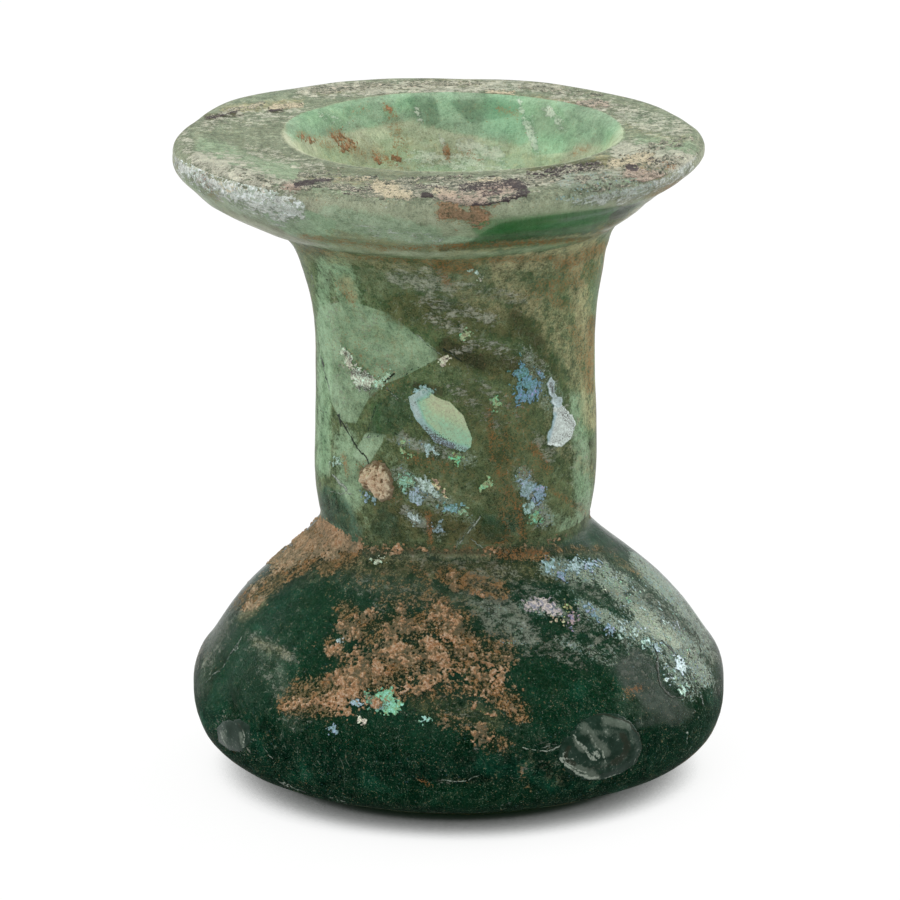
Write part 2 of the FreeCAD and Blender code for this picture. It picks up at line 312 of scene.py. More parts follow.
def plane_of_break(name, outlines):
    """Marks how deep each place lies inside some straight-edged breaks in the glass, in pixels."""
    value = np.full(len(points), -20.0)
    for zone, shapes in outlines.items():
        inside_zone = zones[zone] & (facing > -0.02)
        value[inside_zone] = depth_in_any(vessel_pixels[inside_zone], shapes)
    mark(vessel, name, np.clip(value, -20, 20))


plane_of_break("bright_break", {
    "neck": [
        [(318, 306), (350, 300), (391, 314), (416, 335), (443, 354), (436, 360), (406, 376),
         (386, 384), (368, 400), (356, 424), (340, 421), (330, 400), (322, 350)],
        [(366, 432), (388, 434), (366, 470), (352, 455)],
        [(334, 476), (340, 474), (350, 494), (346, 500)],
        [(479, 518), (467, 543), (454, 547), (460, 533)],
    ],
    "mouth": [
        [(395, 96), (416, 96), (420, 118), (398, 112)],
        [(518, 96), (550, 96), (578, 130), (574, 152), (530, 156), (534, 138), (520, 118)],
        [(300, 112), (330, 104), (352, 118), (340, 130), (310, 128)],
    ],
    "band": [[(262, 200), (300, 206), (338, 222), (330, 246), (290, 236), (262, 216)]],
    "body": [
        [(628, 600), (646, 606), (672, 628), (686, 648), (674, 648), (654, 636), (634, 618)],
    ],
})
plane_of_break("dark_break", {
    "neck": [
        [(378, 401), (400, 384), (430, 380), (418, 400), (408, 425), (398, 437), (368, 436),
         (369, 424), (372, 410)],
        [(320, 492), (332, 486), (350, 512), (354, 530), (340, 545), (324, 528)],
        [(478, 520), (520, 505), (530, 520), (500, 545), (484, 540)],
        [(380, 508), (402, 516), (392, 545), (366, 530)],
    ],
    "body": [
        [(300, 640), (334, 640), (330, 690), (304, 720), (296, 730)],
        [(208, 716), (222, 660), (248, 632), (262, 640), (240, 690), (228, 730)],
        [(556, 632), (600, 640), (618, 700), (560, 720), (500, 730), (520, 660)],
    ],
    "mouth": [
        [(404, 98), (416, 94), (436, 97), (442, 122), (430, 128), (416, 120)],
        [(448, 100), (500, 96), (524, 104), (512, 118), (470, 124), (456, 112)],
    ],
    "band": [
        [(454, 251), (482, 232), (500, 222), (560, 214), (620, 206), (646, 200), (612, 227),
         (556, 245), (500, 252)],
    ],
})
weather("jade_and_reflection", {
    "neck": [
        (324, 262, 324, 470, 9, 0.7), (340, 262, 350, 300, 16, 0.7), (345, 440, 352, 500, 15, 0.7),
        (578, 400, 584, 520, 11, 0.7), (556, 520, 580, 530, 12, 0.6),
        (400, 470, 380, 450, 14, 0.4), (594, 330, 592, 400, 6, 0.5), (360, 500, 370, 540, 10, 0.4),
    ],
    "band": [
        (230, 200, 330, 235, 14, 0.7), (330, 218, 430, 238, 14, 0.8), (430, 240, 490, 244, 6, 0.8),
        (600, 222, 690, 185, 8, 0.6), (186, 176, 220, 206, 8, 0.6),
    ],
    "top": [
        (205, 150, 290, 172, 13, 0.9), (640, 140, 690, 150, 10, 0.7), (560, 175, 610, 178, 6, 0.5),
        (275, 180, 345, 190, 8, 0.6), (600, 112, 660, 130, 10, 0.4),
    ],
    "mouth": [
        (300, 125, 430, 100, 16, 1), (430, 105, 600, 120, 22, 1), (520, 130, 600, 135, 14, 0.7),
        (440, 120, 520, 135, 12, 0.8),
    ],
    # On the body these strokes are partly a grey-green haze film and partly painted reflection,
    # where the lamps and the white surroundings show on the glass.
    "body": [
        (266, 650, 296, 720, 14, 0.75), (350, 575, 450, 600, 20, 0.8),
        (400, 562, 540, 575, 14, 0.7), (628, 702, 676, 712, 16, 0.85),
        (600, 560, 690, 640, 22, 0.9), (250, 604, 320, 572, 9, 0.6), (460, 700, 520, 730, 14, 0.6),
        (560, 575, 600, 600, 14, 0.7), (690, 600, 712, 660, 12, 0.8), (202, 690, 216, 628, 8, 0.8),
        (470, 590, 530, 640, 16, 0.7), (370, 640, 400, 650, 12, 0.6),
        (520, 730, 556, 760, 10, 0.5), (330, 770, 400, 790, 10, 0.4),
    ],
}, (0.5, 7, 11))
# A painted glow: brighter, clearer green where light passes through the glass, on the body and on a
# facet of the neck.
weather("emerald_glow", {
    "body": [
        (212, 716, 250, 640, 14, 1), (270, 606, 330, 566, 8, 0.8), (520, 768, 552, 786, 9, 0.9),
        (480, 765, 620, 790, 12, 0.55), (700, 690, 714, 700, 8, 0.8), (480, 748, 500, 760, 7, 0.6),
        (250, 730, 300, 770, 14, 0.5), (540, 680, 600, 690, 14, 0.5), (660, 550, 690, 590, 8, 0.6),
        (360, 780, 430, 800, 8, 0.5), (590, 660, 620, 700, 10, 0.5),
    ],
    "neck": [
        (330, 500, 344, 532, 14, 1), (380, 515, 395, 535, 10, 0.6), (490, 520, 515, 530, 10, 0.6),
    ],
}, (0.35, 6, 29))
# A painted sheen: grey patches on the body where the right lamp and the white surroundings reflect,
# laid into the colour.
weather("painted_sheen", {
    "body": [
        (630, 668, 652, 698, 15, 1), (655, 690, 674, 712, 13, 0.9), (636, 656, 650, 670, 9, 0.8),
        (206, 652, 222, 624, 8, 0.7), (640, 722, 690, 712, 7, 0.6),
    ],
}, (0.0, 6, 33))
weather("olive", {
    "neck": [
        (400, 308, 520, 326, 20, 0.9), (450, 350, 530, 372, 18, 1), (520, 300, 548, 372, 18, 0.8),
        (440, 470, 510, 490, 20, 0.5), (470, 392, 505, 460, 24, 0.6),
        (400, 515, 500, 542, 16, 0.8), (395, 440, 430, 470, 16, 0.5),
        (520, 400, 540, 460, 18, 0.4), (380, 262, 480, 262, 10, 0.6),
        (380, 500, 400, 540, 12, 0.6), (530, 475, 545, 540, 12, 0.4),
    ],
    "body": [
        (350, 566, 560, 572, 14, 0.7), (380, 585, 440, 600, 12, 0.5),
        (420, 700, 490, 720, 18, 0.6), (456, 660, 500, 690, 14, 0.5),
        (560, 566, 600, 566, 10, 0.4),
    ],
    "band": [(440, 248, 600, 234, 5, 0.8), (320, 238, 430, 250, 5, 0.6)],
    "top": [
        (300, 168, 420, 176, 5, 0.5), (530, 168, 610, 162, 6, 0.8), (208, 117, 222, 117, 4, 0.9),
        (240, 150, 290, 160, 7, 0.5), (600, 150, 640, 150, 6, 0.4),
    ],
    "mouth": [(395, 135, 470, 138, 6, 0.5), (470, 112, 520, 122, 8, 0.3)],
}, (0.45, 6, 12))
weather("umber", {
    "neck": [
        (446, 345, 480, 364, 9, 0.9), (440, 350, 520, 366, 8, 0.6), (515, 318, 538, 345, 11, 0.6),
        (416, 386, 442, 392, 6, 0.7), (370, 398, 392, 376, 3, 0.6), (480, 330, 520, 350, 12, 0.4),
        (355, 388, 375, 392, 5, 0.5), (500, 360, 540, 372, 6, 0.6), (420, 440, 450, 470, 8, 0.3),
        (430, 520, 500, 545, 10, 0.4), (340, 262, 420, 256, 4, 0.5), (455, 300, 480, 292, 5, 0.5),
    ],
    "body": [
        (330, 552, 620, 550, 5, 0.6), (380, 570, 500, 566, 7, 0.5), (300, 610, 340, 570, 6, 0.3),
        (480, 600, 560, 640, 20, 0.3),
    ],
    "band": [(440, 250, 590, 238, 3, 0.6), (520, 200, 530, 206, 3, 0.5)],
    "top": [(218, 116, 240, 114, 3, 1), (268, 112, 282, 111, 2.5, 1), (296, 183, 325, 181, 3, 0.8),
            (300, 165, 340, 170, 3, 0.5), (540, 172, 600, 162, 3, 0.7),
            (640, 146, 660, 160, 4, 0.5),
            (400, 97, 420, 96, 2, 0.5)],
    "mouth": [(440, 128, 452, 132, 2, 0.6)],
}, (0.1, 5, 19))
weather("tan", {
    "neck": [
        (500, 262, 590, 250, 18, 0.9), (500, 285, 570, 320, 18, 0.7),
        (576, 262, 592, 420, 12, 0.9), (555, 330, 585, 380, 16, 0.7),
        (545, 400, 560, 440, 10, 0.5), (380, 266, 500, 262, 9, 0.6), (330, 256, 390, 262, 9, 0.7),
        (345, 280, 352, 296, 8, 0.8), (552, 440, 590, 470, 10, 0.5), (450, 290, 500, 310, 14, 0.5),
        (343, 310, 395, 350, 20, 0.35), (430, 490, 500, 500, 14, 0.3),
    ],
    "body": [
        (300, 575, 345, 560, 14, 0.5), (244, 616, 262, 600, 6, 0.9),
        (360, 566, 500, 575, 14, 0.45), (256, 642, 286, 654, 6, 0.7), (330, 556, 600, 552, 7, 0.6),
        (420, 590, 500, 620, 18, 0.4), (440, 780, 500, 778, 6, 0.3), (600, 556, 640, 570, 6, 0.5),
        (500, 740, 560, 780, 10, 0.3), (250, 600, 300, 570, 10, 0.4),
    ],
    "band": [
        (330, 232, 440, 250, 4, 0.6), (450, 252, 600, 236, 5, 0.7), (650, 200, 690, 180, 8, 0.8),
        (180, 160, 230, 215, 6, 0.4), (600, 226, 650, 208, 5, 0.6), (300, 236, 380, 250, 5, 0.6),
    ],
    "top": [
        (225, 110, 300, 103, 5, 0.8), (490, 96, 600, 105, 5, 0.6), (300, 92, 450, 84, 5, 0.6),
        (650, 160, 690, 170, 8, 0.7), (600, 160, 650, 172, 8, 0.7), (300, 178, 420, 186, 5, 0.5),
        (600, 120, 680, 140, 8, 0.4), (430, 82, 560, 86, 5, 0.5),
    ],
    "mouth": [
        (330, 155, 440, 165, 14, 0.6), (440, 150, 520, 160, 14, 0.6), (520, 160, 560, 162, 8, 0.6),
        (360, 150, 420, 150, 10, 0.6), (390, 110, 410, 150, 7, 0.5), (430, 105, 510, 112, 5, 0.3),
    ],
}, (0.4, 8, 13))
weather("rust", {
    "neck": [
        (437, 264, 469, 268, 8, 0.75), (440, 270, 448, 282, 6, 0.6), (560, 266, 604, 248, 8, 0.65),
        (553, 300, 570, 308, 6, 0.55), (592, 320, 590, 390, 5, 0.7), (428, 514, 431, 545, 4, 0.7),
        (500, 470, 514, 500, 6, 0.5), (517, 500, 524, 545, 5, 0.6), (489, 410, 494, 460, 4, 0.6),
        (500, 547, 545, 552, 7, 0.75), (343, 455, 348, 476, 3, 0.7), (533, 447, 548, 470, 6, 0.6),
        (420, 262, 560, 258, 4, 0.6), (552, 490, 585, 512, 4, 0.5), (540, 290, 592, 270, 12, 0.5),
        (505, 430, 505, 540, 8, 0.4), (330, 540, 350, 550, 6, 0.7), (343, 345, 392, 380, 16, 0.32),
        (340, 284, 352, 300, 6, 0.5), (575, 330, 590, 380, 8, 0.5), (300, 250, 420, 262, 4, 0.5),
        (510, 400, 530, 470, 16, 0.32), (410, 455, 450, 470, 7, 0.4), (380, 460, 392, 500, 4, 0.5),
    ],
    "body": [
        (425, 575, 430, 592, 4, 0.6), (486, 750, 500, 750, 5, 0.4), (626, 696, 640, 686, 4, 0.7),
        (412, 566, 424, 580, 5, 0.5), (500, 553, 545, 556, 7, 0.7), (420, 780, 430, 784, 3, 0.6),
    ],
    "band": [
        (442, 214, 486, 218, 8, 0.6), (380, 249, 600, 240, 3, 0.65), (655, 195, 690, 180, 5, 0.6),
        (600, 232, 650, 206, 4, 0.5), (300, 236, 380, 248, 3, 0.5), (196, 170, 216, 200, 5, 0.4),
    ],
    "top": [
        (650, 162, 672, 166, 5, 0.7), (435, 204, 480, 208, 3, 0.7), (300, 200, 330, 204, 2, 0.5),
        (490, 98, 610, 106, 3, 0.4), (640, 170, 668, 178, 5, 0.6),
    ],
    "mouth": [
        (334, 134, 352, 148, 7, 0.8), (300, 134, 330, 146, 5, 0.6), (372, 155, 400, 162, 5, 0.7),
        (446, 148, 448, 156, 4, 1), (390, 120, 402, 150, 7, 0.5), (498, 108, 516, 114, 5, 0.55),
        (386, 106, 393, 114, 4, 0.7), (396, 145, 402, 162, 4, 0.5), (575, 152, 588, 148, 4, 0.7),
        (350, 112, 365, 108, 5, 0.4), (460, 150, 480, 160, 5, 0.5), (340, 150, 400, 165, 5, 0.4),
    ],
}, (0.12, 7, 14))
weather("pale", {
    "neck": [
        (395, 278, 450, 288, 9, 0.7), (395, 268, 440, 272, 6, 0.5), (425, 300, 490, 318, 9, 0.6),
        (430, 318, 460, 330, 8, 0.6), (480, 290, 520, 300, 8, 0.5), (437, 284, 500, 288, 4, 0.6),
        (402, 438, 450, 458, 7, 0.65), (400, 475, 440, 505, 10, 0.5), (535, 440, 552, 450, 6, 0.6),
        (525, 475, 543, 522, 9, 0.6), (470, 340, 540, 362, 9, 0.5), (404, 510, 424, 526, 6, 0.7),
        (330, 300, 345, 400, 9, 0.35), (455, 390, 500, 425, 10, 0.45),
        (538, 436, 550, 460, 6, 0.6), (560, 400, 590, 520, 14, 0.35),
        (360, 320, 400, 400, 16, 0.3), (480, 385, 520, 410, 8, 0.4), (455, 352, 470, 350, 4, 0.7),
        (490, 400, 498, 398, 5, 0.6),
    ],
    "body": [
        (203, 660, 222, 622, 13, 0.6), (222, 622, 245, 600, 9, 0.5), (250, 638, 290, 655, 9, 0.6),
        (360, 588, 430, 600, 18, 0.45), (480, 585, 524, 632, 18, 0.7),
        (420, 560, 500, 575, 12, 0.4), (560, 640, 612, 662, 10, 0.5),
        (702, 640, 716, 690, 7, 0.45), (500, 640, 525, 655, 8, 0.5), (222, 720, 245, 745, 12, 0.4),
        (540, 600, 600, 630, 10, 0.5), (440, 780, 462, 783, 3, 0.6), (262, 640, 296, 720, 13, 0.3),
        (640, 600, 690, 650, 20, 0.6), (560, 570, 640, 610, 14, 0.5),
        (480, 745, 540, 770, 12, 0.3), (440, 700, 480, 730, 10, 0.4), (540, 742, 560, 748, 4, 0.5),
        (470, 600, 510, 640, 16, 0.6), (520, 630, 580, 660, 14, 0.55),
        (560, 610, 640, 660, 16, 0.5), (360, 590, 400, 620, 16, 0.4),
        (255, 650, 300, 720, 16, 0.38), (500, 570, 545, 600, 12, 0.5),
        (620, 660, 650, 690, 12, 0.4), (690, 600, 712, 660, 12, 0.6),
    ],
    "band": [
        (190, 162, 280, 206, 19, 0.8), (265, 205, 300, 215, 8, 0.5), (590, 200, 640, 186, 8, 0.7),
        (540, 190, 600, 200, 10, 0.5), (620, 198, 690, 170, 8, 0.6), (180, 150, 200, 180, 8, 0.6),
        (284, 212, 300, 214, 5, 0.8), (360, 230, 440, 240, 7, 0.4),
    ],
    "top": [
        (230, 160, 290, 190, 10, 0.6), (300, 180, 430, 196, 8, 0.35), (300, 90, 560, 84, 8, 0.7),
        (430, 190, 640, 170, 10, 0.6), (560, 100, 680, 130, 12, 0.6),
        (620, 150, 690, 164, 12, 0.85), (230, 120, 300, 110, 10, 0.5),
        (250, 150, 320, 170, 8, 0.5), (205, 125, 240, 110, 8, 0.5), (180, 130, 210, 190, 8, 0.5),
        (198, 158, 262, 184, 9, 0.85),
    ],
    "mouth": [
        (420, 158, 480, 162, 9, 0.7), (462, 145, 500, 155, 8, 0.8), (530, 118, 536, 150, 4, 0.7),
        (546, 108, 560, 124, 5, 0.7), (416, 108, 420, 120, 3, 0.8), (441, 135, 445, 150, 2.5, 0.9),
        (518, 95, 530, 140, 2.5, 0.8), (400, 162, 500, 170, 8, 0.5), (320, 115, 345, 125, 6, 0.4),
    ],
}, (0.36, 8, 15))
weather("deep", {
    "neck": [
        (374, 404, 378, 430, 6, 0.6), (480, 515, 500, 530, 12, 0.6), (480, 470, 520, 500, 12, 0.3),
        (400, 410, 380, 430, 10, 0.4),
    ],
    "body": [
        (212, 716, 250, 640, 14, 1), (480, 765, 620, 785, 16, 0.9), (230, 620, 330, 590, 8, 0.6),
        (270, 600, 330, 560, 7, 0.7), (620, 770, 700, 730, 14, 0.8), (300, 770, 420, 795, 12, 0.8),
        (694, 690, 716, 670, 9, 0.8), (600, 556, 650, 572, 6, 0.4), (540, 690, 600, 690, 12, 0.4),
    ],
    "band": [(480, 228, 620, 214, 9, 0.9)],
}, (0.5, 8, 16))
weather("pearl", {
    "body": [
        (548, 566, 620, 580, 12, 0.75), (600, 570, 650, 620, 14, 0.75),
        (640, 612, 690, 650, 14, 0.7), (680, 640, 705, 680, 10, 0.8),
        (640, 622, 676, 645, 11, 0.9), (525, 605, 560, 612, 8, 0.7), (583, 606, 640, 636, 9, 0.8),
        (560, 640, 612, 660, 9, 0.5), (690, 655, 712, 690, 7, 0.35),
        (480, 590, 520, 640, 14, 0.45), (655, 645, 692, 692, 12, 0.6),
        (496, 640, 526, 642, 5, 0.6), (690, 606, 706, 650, 9, 0.6), (560, 590, 640, 660, 14, 0.4),
        (640, 560, 690, 610, 14, 0.8),
    ],
    "neck": [
        (525, 350, 548, 405, 10, 0.6), (400, 475, 445, 505, 12, 0.7),
        (522, 475, 545, 520, 11, 0.8), (400, 440, 470, 460, 9, 0.6), (470, 330, 545, 375, 14, 0.3),
        (430, 500, 470, 520, 9, 0.5), (408, 512, 440, 535, 9, 0.6), (545, 370, 560, 400, 7, 0.6),
        (440, 380, 500, 400, 10, 0.3),
    ],
    "top": [(570, 176, 640, 182, 8, 0.8), (560, 182, 600, 192, 7, 0.7)],
    "band": [(560, 196, 650, 186, 7, 0.7), (270, 204, 300, 214, 5, 0.5)],
}, (0.1, 9, 17))
weather("soil", {
    "body": [
        (325, 568, 350, 556, 10, 0.9), (345, 575, 430, 590, 14, 0.45),
        (445, 575, 500, 592, 12, 0.8), (345, 610, 370, 640, 14, 0.7), (330, 640, 345, 665, 8, 0.6),
        (300, 695, 400, 670, 18, 0.8), (284, 706, 330, 712, 10, 0.75),
        (370, 630, 460, 620, 20, 0.65), (390, 660, 500, 650, 22, 0.7),
        (440, 610, 470, 650, 16, 0.8), (480, 680, 520, 712, 14, 0.75),
        (400, 690, 470, 690, 14, 0.6), (440, 715, 505, 745, 10, 0.55),
        (235, 604, 262, 588, 7, 0.6), (246, 600, 330, 545, 11, 0.8), (290, 558, 324, 526, 10, 1.1),
        (330, 549, 600, 549, 5, 0.5), (385, 600, 440, 600, 10, 0.6), (500, 554, 550, 556, 6, 0.7),
        (616, 558, 640, 575, 5, 0.5), (520, 770, 530, 790, 5, 0.5), (330, 590, 345, 610, 8, 0.4),
        (610, 590, 640, 600, 4, 0.4),
    ],
    "neck": [
        (320, 530, 350, 548, 6, 0.8), (356, 548, 600, 547, 4, 0.5), (365, 470, 390, 495, 14, 0.5),
    ],
    "band": [(455, 215, 480, 222, 7, 0.6)],
}, (0.12, 8, 18))


class Shade:
    """A material's socket that takes part in sums. Its node method adds any other node."""

    def __init__(self, tree, socket=None):
        self.tree = tree
        self.socket = socket

    def node(self, kind, values=None, output=0, stops=None, **settings):
        new = self.tree.nodes.new("ShaderNode" + kind)
        for name, setting in settings.items():
            setattr(new, name, setting)
        if stops:
            elements = new.color_ramp.elements
            while len(elements) < len(stops):
                elements.new(1)
            for element, (place, colour) in zip(elements, stops):
                element.position = place
                element.color = (*colour, 1)
        for name, value in (values or {}).items():
            if isinstance(value, Shade):
                self.tree.links.new(value.socket, new.inputs[name])
            else:
                new.inputs[name].default_value = value
        return None if output is None else Shade(self.tree, new.outputs[output])

    def sum(self, operation, first, second):
        return self.node("Math", {0: first, 1: second}, operation=operation)

    def __add__(self, other):
        return self.sum("ADD", self, other)

    def __radd__(self, other):
        return self.sum("ADD", other, self)

    def __sub__(self, other):
        return self.sum("SUBTRACT", self, other)

    def __rsub__(self, other):
        return self.sum("SUBTRACT", other, self)

    def __mul__(self, other):
        return self.sum("MULTIPLY", self, other)

    def __rmul__(self, other):
        return self.sum("MULTIPLY", other, self)

    def most(self, *others):
        """This value or the largest of some others."""
        top = self
        for other in others:
            top = self.sum("MAXIMUM", top, other)
        return top

    def step(self, low, high):
        """0 below low, 1 above high, and smooth between."""
        values = {"Value": self, "From Min": low, "From Max": high}
        return self.node("MapRange", values, interpolation_type="SMOOTHSTEP")

    def paint(self, *layers):
        """This colour with others laid over it in turn, each where its mask is 1."""
        under = self
        for colour, mask in layers:
            over = colour if isinstance(colour, Shade) else (*colour, 1)
            under = self.node(
                "Mix", {"Factor": mask, 6: under, 7: over}, output=2, data_type="RGBA"
            )
        return under

    def lit(self, amount):
        """This colour, made lighter or darker by an amount that is 1 for no change."""
        return self.node("VectorMath", {0: self, "Scale": amount}, operation="SCALE")

    def mark(self, name):
        """The value that the mesh carries under this name."""
        return self.node("Attribute", output="Fac", attribute_name=name)

    def grain(self, per_mm, detail=3, rough=0.55, bend=0.0, spread=(1, 1, 1)):
        """Noise in the piece's own space, with the given number of lumps per millimetre."""
        place = self.node("TexCoord", output="Object")
        placed = self.node("Mapping", {"Vector": place, "Scale": spread})
        values = {
            "Vector": placed, "Scale": per_mm / mm, "Detail": detail, "Roughness": rough,
            "Distortion": bend,
        }
        return self.node("TexNoise", values)


def emptied(owner):
    """The shade of a material or world whose nodes are cleared, ready for new ones."""
    owner.use_nodes = True
    owner.node_tree.nodes.clear()
    return Shade(owner.node_tree)


def new_material(name):
    """A new material and its shade."""
    material = bpy.data.materials.new(name)
    return material, emptied(material)


def from_collar_middle(points):
    """How far points lie from the upright line through the middle of the collar, in metres."""
    return np.hypot(points[:, 0] + collar_shift, points[:, 1])


# How much of the glass a film hides, before its breaks: nearly all inside and on the collar's
# top, most of the neck, and less of the body, where the deep green shows.
bare = np.select(
    [turned_inner & (height < 19.5), turned_inner & (height < 42), turned_inner,
     height < 1.2, height < 19.6, height < 44, height < 49.5],
    [0.94, 0.86, 0.6, 0.8, 0.66, 0.76, 0.66], 0.92,
)
mark(vessel, "bare", bare)
mark(vessel, "is_inner", turned_inner)
mark(vessel, "away", from_collar_middle(points) / mm)
mark(vessel, "rise", height)

glass, shade = new_material("bottle_green_glass")
coarse = shade.grain(0.35, detail=4)
medium = shade.grain(1.1, detail=6, rough=0.62)
fine = shade.grain(4.2, detail=5, rough=0.72)
speck = shade.grain(8.0, detail=3, rough=0.7)
dust = shade.grain(5.5, detail=4, rough=0.8, bend=0.6)
hairs = shade.grain(1.6, detail=5, rough=0.7, spread=(0.9, 0.9, 2.4), bend=0.5)
mottle = shade.grain(2.0, detail=7, rough=0.72, bend=0.5)
paths = shade.grain(0.55, detail=3, rough=0.35, spread=(1, 1, 0.5), bend=0.3)
rise = shade.mark("rise")
is_inner = shade.mark("is_inner")
on_neck = rise.step(19.2, 21.0)
on_band = rise.step(43.6, 44.8) * (1 - is_inner)
on_top = rise.step(49.3, 49.7) * (1 - is_inner)
on_body = (1 - on_neck) * (1 - is_inner)
ring_place = shade.node(
    "CombineXYZ", {0: shade.mark("away") * 1.5 + coarse * 4.0, 1: medium * 2.2, 2: coarse * 6.0}
)
ring_streaks = shade.node(
    "TexNoise", {"Vector": ring_place, "Scale": 1.5, "Detail": 6.0, "Roughness": 0.7}
)
rough_edge = (medium * 0.4 + fine * 0.6 - 0.5) * 4.0
crumbled = (fine * 0.55 + speck * 0.45 - 0.5) * 5.0


def broken(name, ragged, soft=0.16):
    """A film's mask: solid where its mark is 1, and dissolving into specks where it is less."""
    return (shade.mark(name) * 1.3 - 0.75 + ragged).step(-soft, soft)


jade_and_reflection = broken("jade_and_reflection", rough_edge * 0.5, 0.3)
olive = broken("olive", rough_edge * 0.6, 0.3)
umber = broken("umber", rough_edge * 0.9, 0.2)
tan = broken("tan", rough_edge * 0.55 + (mottle - 0.5) * 2.0, 0.5)
rust = broken("rust", rough_edge * 0.45 + (speck * 0.6 + fine * 0.4 - 0.5) * 7.0 - 0.12, 0.25)
pale = broken("pale", rough_edge * 0.6 + (hairs - 0.5) * 3.2, 0.2)
deep = broken("deep", rough_edge * 0.4, 0.35)
pearl = broken("pearl", rough_edge * 0.6 + crumbled * 0.4, 0.2)
soil = broken("soil", rough_edge * 0.6 + crumbled * 0.8 - 0.14, 0.2)
emerald_glow = broken("emerald_glow", (coarse - 0.5) * 3.0 + rough_edge * 0.15, 0.35)
painted_sheen = (shade.mark("painted_sheen") + (coarse - 0.5) * 1.2).step(0.15, 0.9) * on_body
bright_break = shade.mark("bright_break").step(-0.5, 1.2) * (0.75 + (coarse - 0.5) * 1.5)
dark_break = shade.mark("dark_break").step(-1.0, 3.0) * (0.7 + (coarse - 0.5) * 1.5)
on_side = on_band * (1 - on_top)
calm = jade_and_reflection.most(bright_break, is_inner, on_side * (1 - pale * 0.6), on_top * 0.5) * (1 - on_body)
under_rim = rise.step(37.0, 43.0) * (1 - on_band) * (1 - is_inner)

# Painted shade: the body's film is painted darker towards the bottom, more of it is covered there,
# and it turns matt.
low_body_shade = on_body * rise.step(12.0, 6.0)
in_depth = dark_break * (1 - on_body) * (0.85 - is_inner * 0.3)
browner = (medium * 0.7 + coarse * 0.3).step(0.48, 0.56)
scratched = shade.sum("ABSOLUTE", paths - 0.5, 0).step(0.0035, 0.0008) * medium.step(0.5, 0.56)
film = shade.node(
    "Mix", {"Factor": on_neck, 6: (0.007, 0.045, 0.025, 1), 7: (0.150, 0.190, 0.092, 1)},
    output=2, data_type="RGBA",
)
film = film.paint(
    ((0.56, 0.59, 0.43), on_band),
    ((0.085, 0.105, 0.07), is_inner * (1 - rise.step(17.0, 21.0))),
    ((0.80, 0.81, 0.58), is_inner * rise.step(21.0, 44.0)),
    ((0.27, 0.31, 0.215), on_top),
    ((0.25, 0.245, 0.165), under_rim * 0.5),
    ((0.38, 0.54, 0.345), jade_and_reflection * (1 - on_body) * (1 - on_top * 0.5)),
    ((0.50, 0.66, 0.47), jade_and_reflection * is_inner * 0.8),
    ((0.55, 0.66, 0.48), jade_and_reflection * on_side),
    ((0.46, 0.63, 0.42), bright_break * (1 - on_body)),
    # jade on the body: haze film and painted reflection
    ((0.092, 0.140, 0.098), jade_and_reflection * on_body * (0.6 + (medium - 0.5) * 2.0)),
    ((0.002, 0.024, 0.012), dark_break * on_body * 0.8),
    # painted shade low on the body
    ((0.003, 0.021, 0.010), low_body_shade * 0.6),
    # painted glow of light through the glass
    ((0.007, 0.072, 0.040), emerald_glow * on_body * 0.6),
    ((0.080, 0.160, 0.112), emerald_glow * on_neck * 0.85),
    ((0.110, 0.110, 0.048), olive * 0.85),
    ((0.045, 0.088, 0.052), in_depth),
    ((0.038, 0.058, 0.032), in_depth * on_side),
    ((0.50, 0.45, 0.26), tan * (0.72 - on_body * 0.3)),
    ((0.16, 0.13, 0.06), mottle.step(0.50, 0.62) * on_neck * (0.45 - calm * 0.25)),
    ((0.26, 0.32, 0.21), mottle.step(0.47, 0.38) * on_neck * (0.35 - calm * 0.2)),
    ((0.045, 0.070, 0.045), mottle.step(0.50, 0.64) * on_body * 0.5),
    ((0.070, 0.080, 0.050), on_top * ring_streaks.step(0.52, 0.62) * 0.4),
    ((0.52, 0.52, 0.40), on_top * ring_streaks.step(0.47, 0.36) * 0.45),
    ((0.045, 0.038, 0.022), umber * 0.75),
    ((0.46, 0.46, 0.39), pale * (1 - is_inner) * (0.62 - on_body * 0.22)),
    ((0.66, 0.65, 0.52), pale * on_top * 0.6),
    ((0.82, 0.87, 0.82), pale * on_side * 0.85),
    ((0.80, 0.84, 0.72), pale * is_inner * 0.65),
)
pearl_hue = shade.node(
    "ValToRGB", {"Fac": medium * 0.5 + fine * 0.5},
    stops=[
        (0.32, (0.12, 0.11, 0.08)), (0.42, (0.22, 0.28, 0.20)), (0.50, (0.44, 0.51, 0.42)),
        (0.57, (0.14, 0.22, 0.18)), (0.66, (0.38, 0.43, 0.46)),
    ],
)
film = film.paint(
    (pearl_hue, pearl * (0.8 - on_neck * 0.3)),
    ((0.62, 0.69, 0.53), bright_break * on_body * (0.6 + (mottle - 0.5) * 2.6)),
)
uneven = (fine - 0.5) * 2.2 + (medium - 0.5) * 2.4 + (coarse - 0.5) * 0.8 + (speck - 0.5) * 3.2
film = film.lit((1.0 + uneven * (1.0 - calm * 0.5)).most(0.22))
